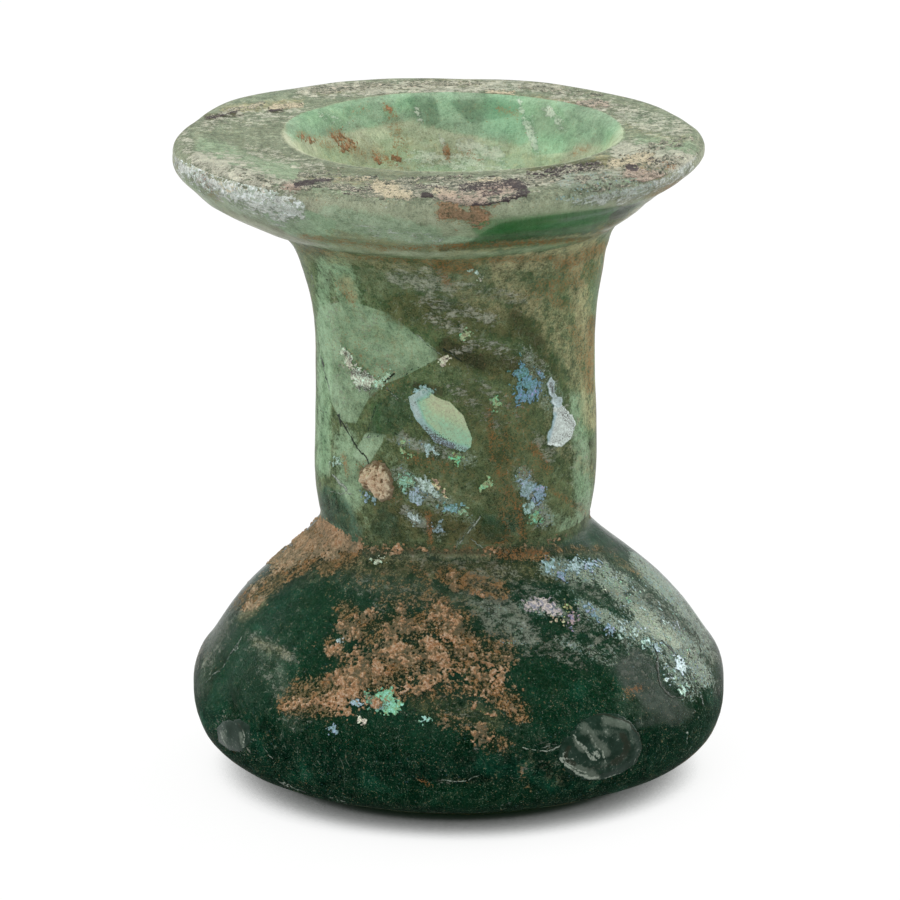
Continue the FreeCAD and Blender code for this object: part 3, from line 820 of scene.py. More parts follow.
film = film.paint(
    # painted sheen, a grey reflection
    ((0.104, 0.120, 0.106), painted_sheen * (0.62 + (medium - 0.5) * 1.2)),
    ((0.33, 0.145, 0.052), rust * 0.8),
    ((0.10, 0.048, 0.02), rust * fine.step(0.49, 0.42) * 0.8),
    ((0.19, 0.135, 0.062), soil * 0.8),
    ((0.40, 0.20, 0.080), soil * browner * 0.8),
    ((0.48, 0.35, 0.20), soil * fine.step(0.54, 0.64) * 0.7),
    ((0.06, 0.048, 0.026), soil * fine.step(0.47, 0.39) * 0.85),
    ((0.025, 0.022, 0.012), speck.step(0.61, 0.65) * (on_neck * 0.8 - calm * 0.35)),
    ((0.60, 0.60, 0.48), dust.step(0.64, 0.69) * (0.42 + pale * 0.3)),
    ((0.40, 0.46, 0.38), speck.step(0.625, 0.67) * on_body * 0.4),
    ((0.42, 0.22, 0.09), dust.step(0.35, 0.31) * on_neck * 0.6),
    ((0.50, 0.54, 0.44), scratched * 0.3),
)
own_place = shade.node("TexCoord", output="Object")
chips = {"Vector": own_place, "Scale": 6.5 / mm}
chip_tint = shade.node("TexVoronoi", chips, output="Color")
chip_near = shade.node("TexVoronoi", chips, output="Distance")
chip_pick = shade.node("SeparateColor", {"Color": chip_tint}, output="Red")
chip_kind = shade.node("SeparateColor", {"Color": chip_tint}, output="Green")
chip_hue = shade.node(
    "ValToRGB", {"Fac": chip_kind},
    stops=[
        (0.0, (0.16, 0.34, 0.62)), (0.3, (0.30, 0.58, 0.60)), (0.5, (0.62, 0.68, 0.62)),
        (0.75, (0.28, 0.58, 0.24)), (1.0, (0.66, 0.60, 0.42)),
    ],
)
sparkle = chip_pick.step(0.93 - pearl * 0.33, 0.94 - pearl * 0.33) * chip_near.step(0.42, 0.30)
film = film.paint((chip_hue, sparkle * (0.12 + pearl * 0.8)))

cover = shade.mark("bare") + (coarse - 0.5) * 0.3 + (medium - 0.5) * (0.3 - calm * 0.2)
cover = cover.most(
    olive * 0.85, tan * 0.9, pale * 0.8 - on_body * 0.25, pearl * 0.85, umber * 0.9, rust * 0.95,
    soil * 0.97, painted_sheen * 0.8,
)
cover = cover * (1 - deep * (0.5 - on_body * 0.32))
cover = cover.most(low_body_shade * 0.85, sparkle * 0.8, dust.step(0.64, 0.69) * 0.8, scratched * 0.6)
rough = 0.45 - on_body * 0.25 + pale * 0.2 + tan * 0.2 + soil * 0.4 + rust * 0.3
rough = rough - sparkle * 0.25 + on_top * 0.12
relief = fine * (0.35 + soil * 1.5 + tan + pale + on_top) + medium * 0.5 + hairs * pale * 0.6
bump = shade.node("Bump", {"Height": relief, "Strength": 0.6, "Distance": 0.14 * mm})
clear = shade.node("BsdfPrincipled", {
    "Base Color": (0.86, 0.95, 0.90, 1), "Roughness": 0.1, "IOR": 1.08,
    "Transmission Weight": 1.0,
})
skin = shade.node("BsdfPrincipled", {
    "Base Color": film, "Roughness": rough, "Normal": bump, "Specular IOR Level": 0.03,
})
dull = shade.node("BsdfPrincipled", {
    "Base Color": film, "Roughness": 1.0, "Normal": bump, "Specular IOR Level": 0.0,
})
coated = shade.node("MixShader", {0: low_body_shade, 1: skin, 2: dull})
glazed = shade.node("MixShader", {0: cover, 1: clear, 2: coated})
is_shadow = shade.node("LightPath", output="Is Shadow Ray")
veil = shade.node("BsdfTransparent", {"Color": (0.5, 0.6, 0.54, 1)})
surface = shade.node("MixShader", {0: is_shadow, 1: glazed, 2: veil})
tint = shade.node("VolumeAbsorption", {"Color": (0.18, 0.74, 0.44, 1), "Density": 400.0})
shade.node("OutputMaterial", {"Surface": surface, "Volume": tint}, output=None)
vessel.data.materials.append(glass)


# Soil baked on to the glass. It lies in crumbs and crusts that grew on the surface itself, so each
# piece starts as a copy of the glass's own faces, cut finer, and is crumbled outwards from there.
# A pixel of the photograph spans about 1/13.3 mm of the jar. No deposit is thinner than 0.012 mm.
pixel_mm = 1 / 13.3
thinnest = 0.012


def pick(piece):
    """Selects one piece alone and makes it the active one."""
    bpy.ops.object.select_all(action="DESELECT")
    piece.select_set(True)
    bpy.context.view_layer.objects.active = piece


def face_sums(piece, values):
    """The sum over each face's corners of some values that the vertices have."""
    corners = np.zeros(len(piece.data.loops), np.int32)
    piece.data.loops.foreach_get("vertex_index", corners)
    starts = np.zeros(len(piece.data.polygons), np.int32)
    piece.data.polygons.foreach_get("loop_start", starts)
    return np.add.reduceat(values[corners].astype(float), starts)


def select_faces(piece, chosen):
    """Enters edit mode with some of a piece's faces selected."""
    mesh = piece.data
    mesh.vertices.foreach_set("select", np.zeros(len(mesh.vertices), bool))
    mesh.edges.foreach_set("select", np.zeros(len(mesh.edges), bool))
    mesh.polygons.foreach_set("select", chosen)
    bpy.ops.object.mode_set(mode="EDIT")
    bpy.ops.mesh.select_mode(type="FACE")


def free_skin(name, near, cuts):
    """A finer copy of the vessel's faces with all corners near, as a piece of its own."""
    pick(vessel)
    select_faces(vessel, face_sums(vessel, ~near) == 0)
    bpy.ops.mesh.duplicate()
    bpy.ops.mesh.separate(type="SELECTED")
    bpy.ops.object.mode_set(mode="OBJECT")
    piece = next(other for other in bpy.context.selected_objects if other != vessel)
    pick(piece)
    piece.name = name
    piece.data.materials.clear()
    bpy.ops.object.mode_set(mode="EDIT")
    bpy.ops.mesh.select_all(action="SELECT")
    bpy.ops.mesh.subdivide(number_cuts=cuts)
    bpy.ops.object.mode_set(mode="OBJECT")
    return piece


def skin_near(name, zone, outlines, cuts, margin=16, wrap=0.05):
    """A skin freed from a zone of the vessel round some outlines in the photograph."""
    near = zones[zone] & (facing > -wrap)
    near[near] = depth_in_any(vessel_pixels[near], outlines) > -margin
    return free_skin(name, near, cuts)


def crumble(piece, keep, lift, sink=0.06):
    """Drops a skin's faces where keep is below 0, lifts the rest, and closes it underneath."""
    mark(piece, "thick", lift)
    for label, rows in [("base", places(piece)), ("out", directions(piece))]:
        layer = piece.data.attributes.new(label, "FLOAT_VECTOR", "POINT")
        layer.data.foreach_set("vector", rows.astype(np.float32).ravel())
    pick(piece)
    select_faces(piece, face_sums(piece, keep) < 0)
    bpy.ops.mesh.delete(type="FACE")
    bpy.ops.mesh.select_mode(type="VERT")
    bpy.ops.mesh.select_all(action="SELECT")
    bpy.ops.mesh.delete_loose()
    bpy.ops.object.mode_set(mode="OBJECT")
    kept = piece.data.attributes
    base, out = read_rows(kept["base"].data, "vector"), read_rows(kept["out"].data, "vector")
    raised = read_mark(piece, "thick")
    bpy.ops.object.modifier_add(type="SOLIDIFY")
    piece.modifiers[-1].thickness = 0.1 * mm
    piece.modifiers[-1].offset = -1
    bpy.ops.object.modifier_apply(modifier=piece.modifiers[-1].name)
    top = base + out * (raised * mm)[:, None]
    under = base - out * (sink * mm)
    move_to(piece, np.concatenate([top, under]))
    for label in ["base", "out"]:
        piece.data.attributes.remove(piece.data.attributes[label])
    bpy.ops.object.shade_smooth()


def ramp(values, low, high):
    """0 at low and below, 1 at high and above, and smooth between."""
    share = np.clip((values - low) / (high - low), 0, 1)
    return share * share * (3 - 2 * share)


def stroke_shapes(rows):
    """Oblong outlines round some strokes, to find the skin that they need."""
    shapes = []
    for x1, y1, x2, y2, half_width, strength in rows:
        length = math.hypot(x2 - x1, y2 - y1) or 1
        reach = half_width * 1.5
        run_x, run_y = (x2 - x1) / length * reach, (y2 - y1) / length * reach
        if (x1, y1) == (x2, y2):
            run_x = reach
        shapes.append([
            (x1 - run_x - run_y, y1 - run_y + run_x), (x1 - run_x + run_y, y1 - run_y - run_x),
            (x2 + run_x + run_y, y2 + run_y - run_x), (x2 + run_x - run_y, y2 + run_y + run_x),
        ])
    return shapes


def soil_near(name, zone, strokes, cuts, thickness, seed, wrap=0.05):
    """Crumbs of soil along some strokes, at most as thick as given, in millimetres."""
    piece = skin_near(name, zone, stroke_shapes(strokes), cuts, 6, wrap)
    mass = stroked(pixels_of(piece), strokes)
    spots = places(piece)
    broad = wobble(spots, 1.6 * mm, seed)
    lumps_here = wobble(spots, 0.7 * mm, seed + 1)
    crumbs = wobble(spots, 0.3 * mm, seed + 2)
    grit = wobble(spots, 0.15 * mm, seed + 3)
    keep = mass * 1.5 - 1.0 + 0.6 * broad + 0.6 * lumps_here + 0.7 * crumbs + 0.8 * grit
    thick = ramp(keep, -0.05, 0.9)
    lift = thickness * thick * (0.35 + 0.35 * lumps_here + 0.7 * crumbs + 0.8 * grit)
    crumble(piece, keep, np.clip(lift, thinnest, thickness))
    return piece


crust = soil_near("crust_on_front", "body", [
    (346, 628, 356, 632, 10, 0.95), (360, 620, 372, 614, 7, 0.85), (388, 630, 402, 626, 11, 0.85),
    (402, 608, 414, 600, 8, 0.7), (332, 652, 338, 650, 7, 0.85), (340, 690, 372, 668, 19, 1),
    (392, 648, 410, 658, 15, 0.9), (412, 684, 440, 672, 12, 0.85), (306, 702, 334, 692, 13, 0.74),
    (288, 706, 296, 704, 8, 0.76), (440, 616, 462, 640, 16, 0.85), (453, 576, 455, 592, 5, 0.8),
    (470, 648, 502, 662, 14, 0.7), (484, 674, 508, 700, 19, 0.66), (462, 690, 490, 706, 14, 0.6),
    (380, 706, 400, 690, 9, 0.7), (420, 640, 440, 660, 16, 0.8), (350, 706, 372, 700, 9, 0.62),
    (450, 680, 476, 676, 12, 0.6), (430, 604, 446, 600, 7, 0.6), (466, 588, 480, 592, 6, 0.6),
    (376, 650, 386, 644, 7, 0.8), (476, 742, 500, 738, 9, 0.58), (440, 720, 480, 730, 10, 0.5),
    (350, 660, 380, 650, 12, 0.65), (320, 706, 350, 712, 8, 0.6),
], 5, 0.26, 21)
wedge = soil_near("wedge_on_shoulder", "body", [
    (322, 526, 345, 545, 9, 1.1), (302, 540, 330, 548, 12, 1.1), (278, 562, 306, 550, 11, 0.95),
    (254, 592, 276, 568, 7, 0.66), (248, 608, 260, 600, 7, 0.7), (340, 547, 357, 546, 6, 0.9),
    (360, 548, 400, 552, 4, 0.5),
], 5, 0.13, 31, 0.22)
mark(wedge, "rusty", 0.4 * ramp(pixels_of(wedge)[:, 1], 575, 535))
mark(wedge, "pale_soil_and_relief_light", 0.36)

lump_outline = [
    (359, 471), (366, 466), (376, 460), (386, 464), (391, 472), (394, 488), (391, 499), (381, 502),
    (374, 494), (363, 487), (360, 480),
]
lump = skin_near("lump_on_neck", "neck", [lump_outline], 5)
spots = places(lump)
depth = depth_inside(photo_pixels(spots), lump_outline) * pixel_mm
ripples = wobble(spots * np.array([1.0, 1.0, 0.45]), 0.35 * mm, 41)
keep = depth + 0.12 * wobble(spots, 0.4 * mm, 42)
lift = 0.75 * ramp(keep, -0.05, 0.45) * (0.7 + 0.6 * ripples + 0.35 * wobble(spots, 0.2 * mm, 43))
crumble(lump, keep, np.clip(lift, 0.03, 0.85))
mark(lump, "pale_soil_and_relief_light", 1)

groove_middle = 20.25
groove = free_skin("ring_in_groove", ~turned_inner & (height > 19.0) & (height < 21.9), 2)
spots = places(groove)
depth = 0.42 - np.abs(spots[:, 2] / mm - groove_middle) + 0.55 * wobble(spots, 2.4 * mm, 51)
keep = depth + 0.6 * wobble(spots, 0.6 * mm, 52) + 0.8 * wobble(spots, 0.22 * mm, 53) - 0.6
lift = 0.1 * ramp(keep, -0.05, 0.6) * (0.6 + 0.6 * wobble(spots, 0.25 * mm, 54))
crumble(groove, keep, np.clip(lift, thinnest, 0.16))

edge_soil = soil_near("patch_on_rim_edge", "band", [
    (446, 214, 484, 214, 8, 0.82), (458, 226, 476, 225, 5, 0.72), (442, 206, 496, 205, 4, 0.7),
], 4, 0.1, 61)
mark(edge_soil, "rusty", 0.5)
mark(edge_soil, "pale_soil_and_relief_light", 0.35)

mouth_soil = soil_near("spots_in_mouth", "mouth", [
    (336, 136, 350, 146, 8, 0.72), (303, 137, 312, 141, 4, 0.62), (377, 159, 380, 162, 3, 0.75),
    (394, 158, 400, 160, 3, 0.7), (447, 152, 448, 155, 3, 0.95), (388, 108, 390, 110, 2.5, 0.85),
], 5, 0.04, 71)
mark(mouth_soil, "rusty", 1)

earth, shade = new_material("baked_soil")
thick = shade.mark("thick")
broad = shade.grain(0.6, detail=5, rough=0.65)
crumb = shade.grain(4.0, detail=6, rough=0.75)
grit = shade.grain(11.0, detail=2)
greener = (broad * 1.3 + crumb * 0.5 + thick * 1.4 - 1.0).step(0.12, -0.12)
redder = (broad * 0.9 + crumb * 0.5 + thick * 0.6 - 0.77).step(-0.03, 0.10)
pale_soil_and_relief_light = shade.mark("pale_soil_and_relief_light")
# Painted shade in the low places between the crumbs, where the crust is thin.
crevice_shade = (thick + (crumb - 0.5) * 1.6).step(0.46, 0.16)
rusty = shade.mark("rusty")
soil_colour = shade.node(
    "ValToRGB", {"Fac": (crumb - 0.5) * 2.6 + (broad - 0.5) * 1.4 + thick * 1.3 + 0.57},
    stops=[
        (0.08, (0.035, 0.030, 0.017)), (0.26, (0.120, 0.084, 0.040)), (0.42, (0.28, 0.155, 0.068)),
        (0.58, (0.46, 0.235, 0.100)), (0.80, (0.63, 0.38, 0.20)), (1.0, (0.78, 0.60, 0.42)),
    ],
)
soil_colour = soil_colour.paint(
    ((0.105, 0.125, 0.072), greener * 0.7),
    ((0.42, 0.165, 0.060), redder * crumb.step(0.60, 0.46) * 0.55),
    ((0.70, 0.64, 0.55), grit.step(0.66, 0.72) * 0.7),
    ((0.03, 0.022, 0.013), grit.step(0.36, 0.30) * 0.85),
    # Where marked, the soil is paler, with a painted highlight on the crumbs' tops and a painted
    # shade in the crevices between them.
    ((0.86, 0.75, 0.53), pale_soil_and_relief_light * crumb.step(0.36, 0.58) * 0.85),
    ((0.12, 0.085, 0.04), pale_soil_and_relief_light * crevice_shade * 0.75),
    ((0.38, 0.17, 0.075), rusty * crumb.step(0.34, 0.56) * 0.65),
)
bump = shade.node("Bump", {"Height": crumb + grit * 0.5, "Strength": 0.9, "Distance": 0.14 * mm})
surface = shade.node(
    "BsdfPrincipled", {"Base Color": soil_colour, "Roughness": 0.92, "Normal": bump}
)
shade.node("OutputMaterial", {"Surface": surface}, output=None)
for piece, node in [
    (crust, "soil_crust_front"), (wedge, "soil_wedge_shoulder"), (lump, "soil_lump_neck"),
    (groove, "soil_ring_groove"), (edge_soil, "soil_patch_rim_edge"),
    (mouth_soil, "soil_spots_mouth"),
]:
    piece.data.materials.append(earth)
    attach(piece, "root")
    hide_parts(node)


# Lime and weathering crust on the collar. It built up in thin streaky scales on the top, thickest
# along the front edge, and as a lichen-like film over the left of the collar's side.
def lime_near(name, zone, strokes, thickness, seed, tints=()):
    """Lime in thin overlapping streaks along some strokes, with its tints kept as marks on it."""
    piece = skin_near(name, zone, stroke_shapes(strokes), 4, 6)
    mass = stroked(pixels_of(piece), strokes)
    spots = places(piece)
    around = np.arctan2(spots[:, 0], -spots[:, 1]) * 20 * mm
    laid = np.stack([from_collar_middle(spots) * 2.6, around, spots[:, 2] * 2.0], 1)
    layers = wobble(laid, 1.7 * mm, seed)
    scales = wobble(laid, 0.6 * mm, seed + 1)
    grit = wobble(spots, 0.2 * mm, seed + 2)
    keep = mass * 1.5 - 0.9 + 0.6 * layers + 0.7 * scales + 0.7 * grit
    thick = ramp(keep, -0.05, 0.6)
    lift = thickness * thick * (0.45 + 0.5 * scales + 0.35 * layers + 0.35 * grit)
    crumble(piece, keep, np.clip(lift, thinnest, thickness))
    mark(piece, "away", from_collar_middle(places(piece)) / mm)
    for tint in ["dark", "pink", "cream"]:
        rows = [row[1:] for row in tints if row[0] == tint]
        mark(piece, tint, stroked(pixels_of(piece), rows))
    return piece


front_lime = lime_near(
    "lime_on_front", "top",
    [
        (284, 187, 324, 182, 6, 0.9), (325, 181, 375, 178, 3, 0.7), (345, 190, 375, 194, 5, 0.7),
        (375, 190, 408, 192, 9, 0.95), (408, 190, 440, 194, 7, 0.8), (440, 194, 480, 200, 9, 1),
        (455, 186, 520, 184, 7, 0.9), (480, 200, 522, 192, 7, 0.95), (400, 182, 470, 178, 4, 0.7),
        (530, 176, 600, 166, 5, 0.65), (300, 176, 345, 172, 4, 0.6), (240, 172, 280, 190, 6, 0.5),
        (420, 170, 520, 168, 3, 0.6), (600, 178, 640, 182, 5, 0.6), (330, 186, 370, 187, 5, 0.6),
        (520, 184, 560, 178, 5, 0.6),
    ],
    0.2, 81,
    [
        ("dark", 296, 185, 312, 182, 3, 1), ("dark", 304, 180, 330, 180, 2, 0.9),
        ("dark", 424, 196, 430, 196, 3.2, 1.3), ("dark", 418, 186, 446, 188, 3, 0.6),
        ("dark", 512, 182, 526, 190, 6, 0.95), ("dark", 500, 204, 520, 196, 5, 0.9),
        ("dark", 462, 188, 508, 183, 5, 0.75), ("dark", 474, 206, 498, 205, 4, 0.75),
        ("dark", 345, 192, 370, 187, 4, 0.6), ("dark", 530, 176, 600, 164, 5, 0.7),
        ("dark", 450, 176, 540, 172, 3, 0.6), ("dark", 484, 194, 500, 190, 4, 0.7),
        ("pink", 286, 188, 296, 190, 5, 1), ("pink", 444, 197, 482, 202, 7, 0.9),
        ("pink", 480, 193, 512, 188, 6, 0.8), ("cream", 378, 186, 394, 190, 7, 0.9),
        ("cream", 388, 194, 408, 195, 5, 0.9), ("cream", 436, 191, 452, 194, 4, 0.8),
        ("cream", 336, 181, 368, 179, 3, 0.6), ("cream", 470, 180, 500, 178, 3, 0.6),
    ],
)
right_lime = lime_near(
    "lime_on_right", "top",
    [
        (612, 164, 648, 158, 6, 0.9), (630, 172, 660, 178, 8, 0.95), (650, 165, 680, 160, 6, 0.7),
        (578, 182, 606, 186, 7, 0.65), (606, 184, 634, 190, 6, 0.6), (560, 170, 600, 172, 4, 0.6),
        (640, 150, 690, 140, 5, 0.5),
    ],
    0.2, 91,
    [
        ("dark", 629, 167, 635, 168, 3.2, 1.3), ("pink", 632, 173, 660, 179, 8, 0.9),
        ("cream", 612, 163, 650, 157, 6, 0.8), ("dark", 560, 176, 606, 186, 6, 0.5),
        ("dark", 648, 160, 668, 164, 3, 0.5),
    ],
)
back_lime = lime_near(
    "lime_on_back", "top",
    [
        (490, 96, 510, 98, 6, 1.1), (272, 109, 284, 106, 3.5, 0.9), (284, 105, 302, 106, 3, 0.8),
        (226, 112, 244, 108, 3, 0.7), (240, 110, 262, 104, 3, 0.7), (206, 118, 224, 113, 3, 0.6),
        (312, 90, 350, 88, 4, 0.7), (580, 104, 606, 105, 4, 0.9), (350, 86, 480, 83, 3, 0.6),
        (520, 86, 600, 96, 3, 0.6), (380, 95, 420, 94, 2.5, 0.6),
    ],
    0.12, 101,
    [
        ("cream", 487, 97, 512, 97, 9, 1), ("cream", 272, 106, 302, 105, 5, 0.9),
        ("cream", 236, 108, 262, 104, 4, 0.5), ("pink", 580, 104, 606, 105, 6, 0.6),
        ("dark", 206, 119, 238, 113, 3, 0.9), ("dark", 266, 112, 284, 111, 2.5, 1),
    ],
)
left_film = lime_near(
    "lime_film_on_left", "band",
    [
        (196, 160, 230, 176, 14, 0.7), (226, 176, 266, 196, 16, 0.75),
        (284, 205, 302, 206, 4, 0.8), (186, 160, 206, 186, 8, 0.5), (250, 196, 290, 212, 8, 0.5),
    ],
    0.06, 111, [("cream", 205, 165, 230, 185, 9, 0.5)],
)
mark(left_film, "whiter", 1)

chalk, shade = new_material("lime_crust")
thick = shade.mark("thick")
broad = shade.grain(0.7, detail=5, rough=0.65)
scales = shade.grain(2.6, detail=6, rough=0.72, bend=0.4, spread=(1, 1, 2.5))
grit = shade.grain(10.0, detail=2)
ring_place = shade.node(
    "CombineXYZ", {0: shade.mark("away") * 1.6 + broad * 3.5, 1: scales * 2.5, 2: broad * 5.0}
)
ring_streaks = shade.node(
    "TexNoise", {"Vector": ring_place, "Scale": 2.2, "Detail": 6.0, "Roughness": 0.72}
)
lime_colour = shade.node(
    "ValToRGB", {"Fac": (scales - 0.5) * 2.0 + (ring_streaks - 0.5) * 2.2 + 0.42},
    stops=[
        (0.05, (0.05, 0.055, 0.040)), (0.28, (0.13, 0.15, 0.105)), (0.46, (0.27, 0.28, 0.205)),
        (0.68, (0.52, 0.49, 0.38)), (0.95, (0.78, 0.76, 0.66)),
    ],
)
uneven = (scales - 0.5) * 3.2 + (ring_streaks - 0.5) * 3.0 + (grit - 0.5) * 1.5
cream = (shade.mark("cream") + uneven).step(0.35, 0.9)
pink = (shade.mark("pink") + uneven).step(0.35, 0.95)
dark = (shade.mark("dark") - uneven * 0.7).step(0.42, 0.70)
whiter = shade.mark("whiter")
flecks = shade.grain(3.6, detail=6, rough=0.75)
lime_colour = lime_colour.paint(
    ((0.44, 0.53, 0.43), whiter * 0.85),
    ((0.90, 0.96, 0.95), whiter * flecks.step(0.45, 0.58) * 0.9),
    ((0.17, 0.23, 0.17), whiter * flecks.step(0.40, 0.30) * 0.6),
    ((0.70, 0.60, 0.40), cream * 0.7),
    ((0.50, 0.36, 0.29), pink * 0.6),
    ((0.045, 0.033, 0.036), dark * 0.92),
    ((0.05, 0.045, 0.035), grit.step(0.38, 0.32) * 0.8),
)
bump = shade.node("Bump", {"Height": scales + grit * 0.4, "Strength": 0.7, "Distance": 0.1 * mm})
surface = shade.node(
    "BsdfPrincipled", {"Base Color": lime_colour, "Roughness": 0.8, "Normal": bump}
)
shade.node("OutputMaterial", {"Surface": surface}, output=None)
for piece, node in [
    (front_lime, "lime_crust_rim_front"), (right_lime, "lime_crust_rim_right"),
    (back_lime, "lime_crust_rim_back"), (left_film, "lime_film_rim_left"),
]:
    piece.data.materials.append(chalk)
    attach(piece, "root")
    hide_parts(node)


# Flakes of the weathering layer. Long burial leached the glass's skin into thin scales, and where
# they have lifted off they shine blue, green and violet like a soap film.
def flake_group(name, zone, flakes, cuts, lift, ragged, strokes=(), bare_share=0.0, stray=1.6):
    """Thin scales inside some outlines. Each flake: its outline, its hue and its whiteness."""
    outlines = [outline for outline, hue, white in flakes]
    piece = skin_near(name, zone, outlines, cuts, 9)
    spots = places(piece)
    pixels = photo_pixels(spots)
    pixels += stray * np.stack([wobble(spots, 0.5 * mm, 125), wobble(spots, 0.5 * mm, 126)], 1)
    depths = np.stack([depth_inside(pixels, outline) for outline in outlines]) * pixel_mm
    nearest = depths.argmax(0)
    keep = depths.max(0) + ragged * wobble(spots, 0.4 * mm, 121) - bare_share
    keep += ragged * wobble(spots, 0.18 * mm, 122) + ragged * 0.6 * wobble(spots, 0.09 * mm, 124)
    mark(piece, "hue", np.array([hue for outline, hue, white in flakes])[nearest])
    mark(piece, "white", np.array([white for outline, hue, white in flakes])[nearest])
    curl = lift * (0.7 + 0.6 * wobble(spots, 0.9 * mm, 123)) + 0.05 * ramp(-keep, -0.25, 0)
    crumble(piece, keep, np.clip(curl, 0.02, 0.15), 0.01)
    pixels = pixels_of(piece)
    for label in ["hue", "white", "dark"]:
        rows = [row[1:] for row in strokes if row[0] == label]
        if label == "dark":
            mark(piece, label, stroked(pixels, rows))
        elif rows:
            value = read_mark(piece, label)
            for row in rows:
                touched = stroked(pixels, [row[:5] + (1,)])
                value = value * (1 - touched) + row[5] * touched
            mark(piece, label, value)
    return piece


large_outline = [
    (409, 397), (424, 388), (437, 397), (450, 402), (463, 415), (472, 438), (471, 447), (465, 452),
    (450, 448), (435, 442), (425, 430), (416, 419), (411, 408),
]
large_flake = flake_group(
    "large_flake", "neck", [(large_outline, 0.2, 0.45)], 6, 0.05, 0.03,
    [
        ("hue", 440, 430, 468, 444, 14, 0.33), ("hue", 420, 405, 432, 430, 8, 0.30),
        ("hue", 411, 400, 420, 424, 5, 0.60), ("hue", 420, 424, 440, 444, 5, 0.60),
        ("hue", 413, 398, 426, 391, 5, 0.56), ("hue", 440, 444, 466, 450, 4, 0.52),
        ("white", 412, 400, 418, 416, 3, 0.75), ("white", 410, 398, 424, 391, 3, 0.7),
        ("hue", 432, 438, 452, 446, 3, 0.74), ("dark", 422, 430, 452, 447, 5, 0.9),
        ("dark", 452, 446, 466, 450, 3, 0.6), ("dark", 414, 404, 420, 398, 2, 0.4),
    ],
    0.0, 0.3,
)
mark(large_flake, "smooth", 1)
white_flake = flake_group(
    "white_flake", "neck",
    [
        ([(553, 408), (561, 404), (572, 417), (576, 425), (570, 438), (561, 447), (547, 445),
          (546, 438), (553, 421)], 0.6, 1.15),
        ([(547, 384), (551, 377), (555, 382), (554, 393), (561, 398), (560, 408), (554, 408),
          (550, 398)], 0.7, 0.8),
    ],
    6, 0.05, 0.08,
    [
        ("hue", 549, 440, 556, 412, 3, 0.68), ("white", 548, 440, 555, 414, 2, 0.5),
        ("dark", 563, 412, 574, 430, 5, 0.5), ("dark", 555, 440, 568, 434, 4, 0.4),
        ("dark", 551, 384, 553, 392, 2, 0.8),
    ],
)
mark(white_flake, "smooth", 0.8)
blue_flakes = flake_group(
    "blue_flakes", "neck",
    [
        ([(521, 358), (524, 368), (532, 369), (530, 375), (538, 380), (538, 385), (530, 391),
          (524, 387), (513, 387), (519, 381), (511, 372), (517, 370)], 0.66, 0.05),
        ([(528, 376), (540, 380), (539, 394), (532, 402), (522, 404), (513, 402), (521, 396),
          (528, 388)], 0.72, 0.1),
        ([(513, 388), (523, 388), (529, 395), (522, 404), (514, 398)], 0.7, 0.05),
        ([(538, 372), (545, 377), (541, 382)], 0.72, 0.2),
    ], 6, 0.04, 0.42, (), 0.08,
)
yellow_flakes = flake_group(
    "yellow_flakes", "neck",
    [
        ([(343, 347), (350, 352), (354, 362), (356, 370), (350, 370), (345, 360)], 0.2, 0.75),
        ([(352, 364), (361, 368), (370, 374), (375, 380), (374, 388), (366, 390), (357, 386),
          (351, 376)], 0.22, 0.85),
        ([(372, 380), (384, 378), (390, 372), (384, 386), (374, 390)], 0.3, 0.55),
    ], 6, 0.05, 0.32,
    [("dark", 352, 372, 372, 376, 3, 0.7), ("dark", 360, 388, 374, 390, 3, 0.8),
     ("dark", 346, 352, 352, 362, 2, 0.6)],
)
small_flakes = flake_group(
    "small_flakes", "neck",
    [
        ([(437, 360), (449, 355), (449, 364), (443, 366)], 0.1, 0.7),
        ([(459, 332), (466, 329), (473, 334), (466, 338), (461, 339)], 0.25, 0.3),
        ([(416, 390), (424, 385), (433, 387), (437, 392), (430, 396), (420, 393)], 0.55, 0.4),
        ([(416, 478), (427, 477), (432, 486), (446, 499), (436, 496), (420, 488)], 0.5, 0.8),
        ([(433, 480), (440, 484), (446, 497), (438, 490)], 0.04, 0.3),
        ([(400, 440), (407, 443), (404, 449), (410, 455), (402, 454)], 0.28, 0.2),
        ([(400, 478), (408, 474), (416, 480), (412, 490), (402, 492)], 0.4, 0.4),
        ([(406, 492), (416, 488), (425, 494), (422, 502), (412, 506)], 0.7, 0.5),
        ([(410, 514), (419, 514), (420, 521), (412, 523)], 0.6, 0.85),
        ([(433, 524), (440, 524), (441, 530), (434, 530)], 0.72, 0.5),
        ([(480, 482), (488, 478), (494, 484), (488, 488), (481, 490)], 0.26, 0.2),
        ([(519, 480), (530, 476), (534, 486), (530, 498), (522, 500)], 0.68, 0.45),
        ([(532, 486), (543, 484), (545, 494), (538, 506), (531, 500)], 0.74, 0.3),
        ([(524, 504), (534, 502), (532, 514), (525, 514)], 0.5, 0.5),
        ([(528, 514), (540, 510), (541, 520), (530, 523)], 0.34, 0.2),
        ([(333, 459), (340, 458), (341, 464), (335, 465)], 0.42, 0.7),
        ([(472, 270), (477, 269), (478, 273), (473, 274)], 0.4, 0.85),
        ([(477, 276), (482, 276), (482, 280), (477, 280)], 0.1, 0.9),
        ([(440, 505), (452, 502), (464, 505), (455, 512), (442, 510)], 0.6, 0.2),
        ([(458, 510), (466, 508), (467, 514), (460, 515)], 0.32, 0.4),
        ([(425, 446), (435, 446), (438, 454), (428, 454)], 0.55, 0.6),
        ([(452, 452), (464, 454), (458, 462), (448, 458)], 0.27, 0.1),
        ([(360, 492), (368, 494), (376, 502), (366, 500)], 0.7, 0.35),
        ([(491, 400), (497, 398), (499, 408), (494, 410)], 0.3, 0.2),
    ], 6, 0.04, 0.42, (), 0.06,
)
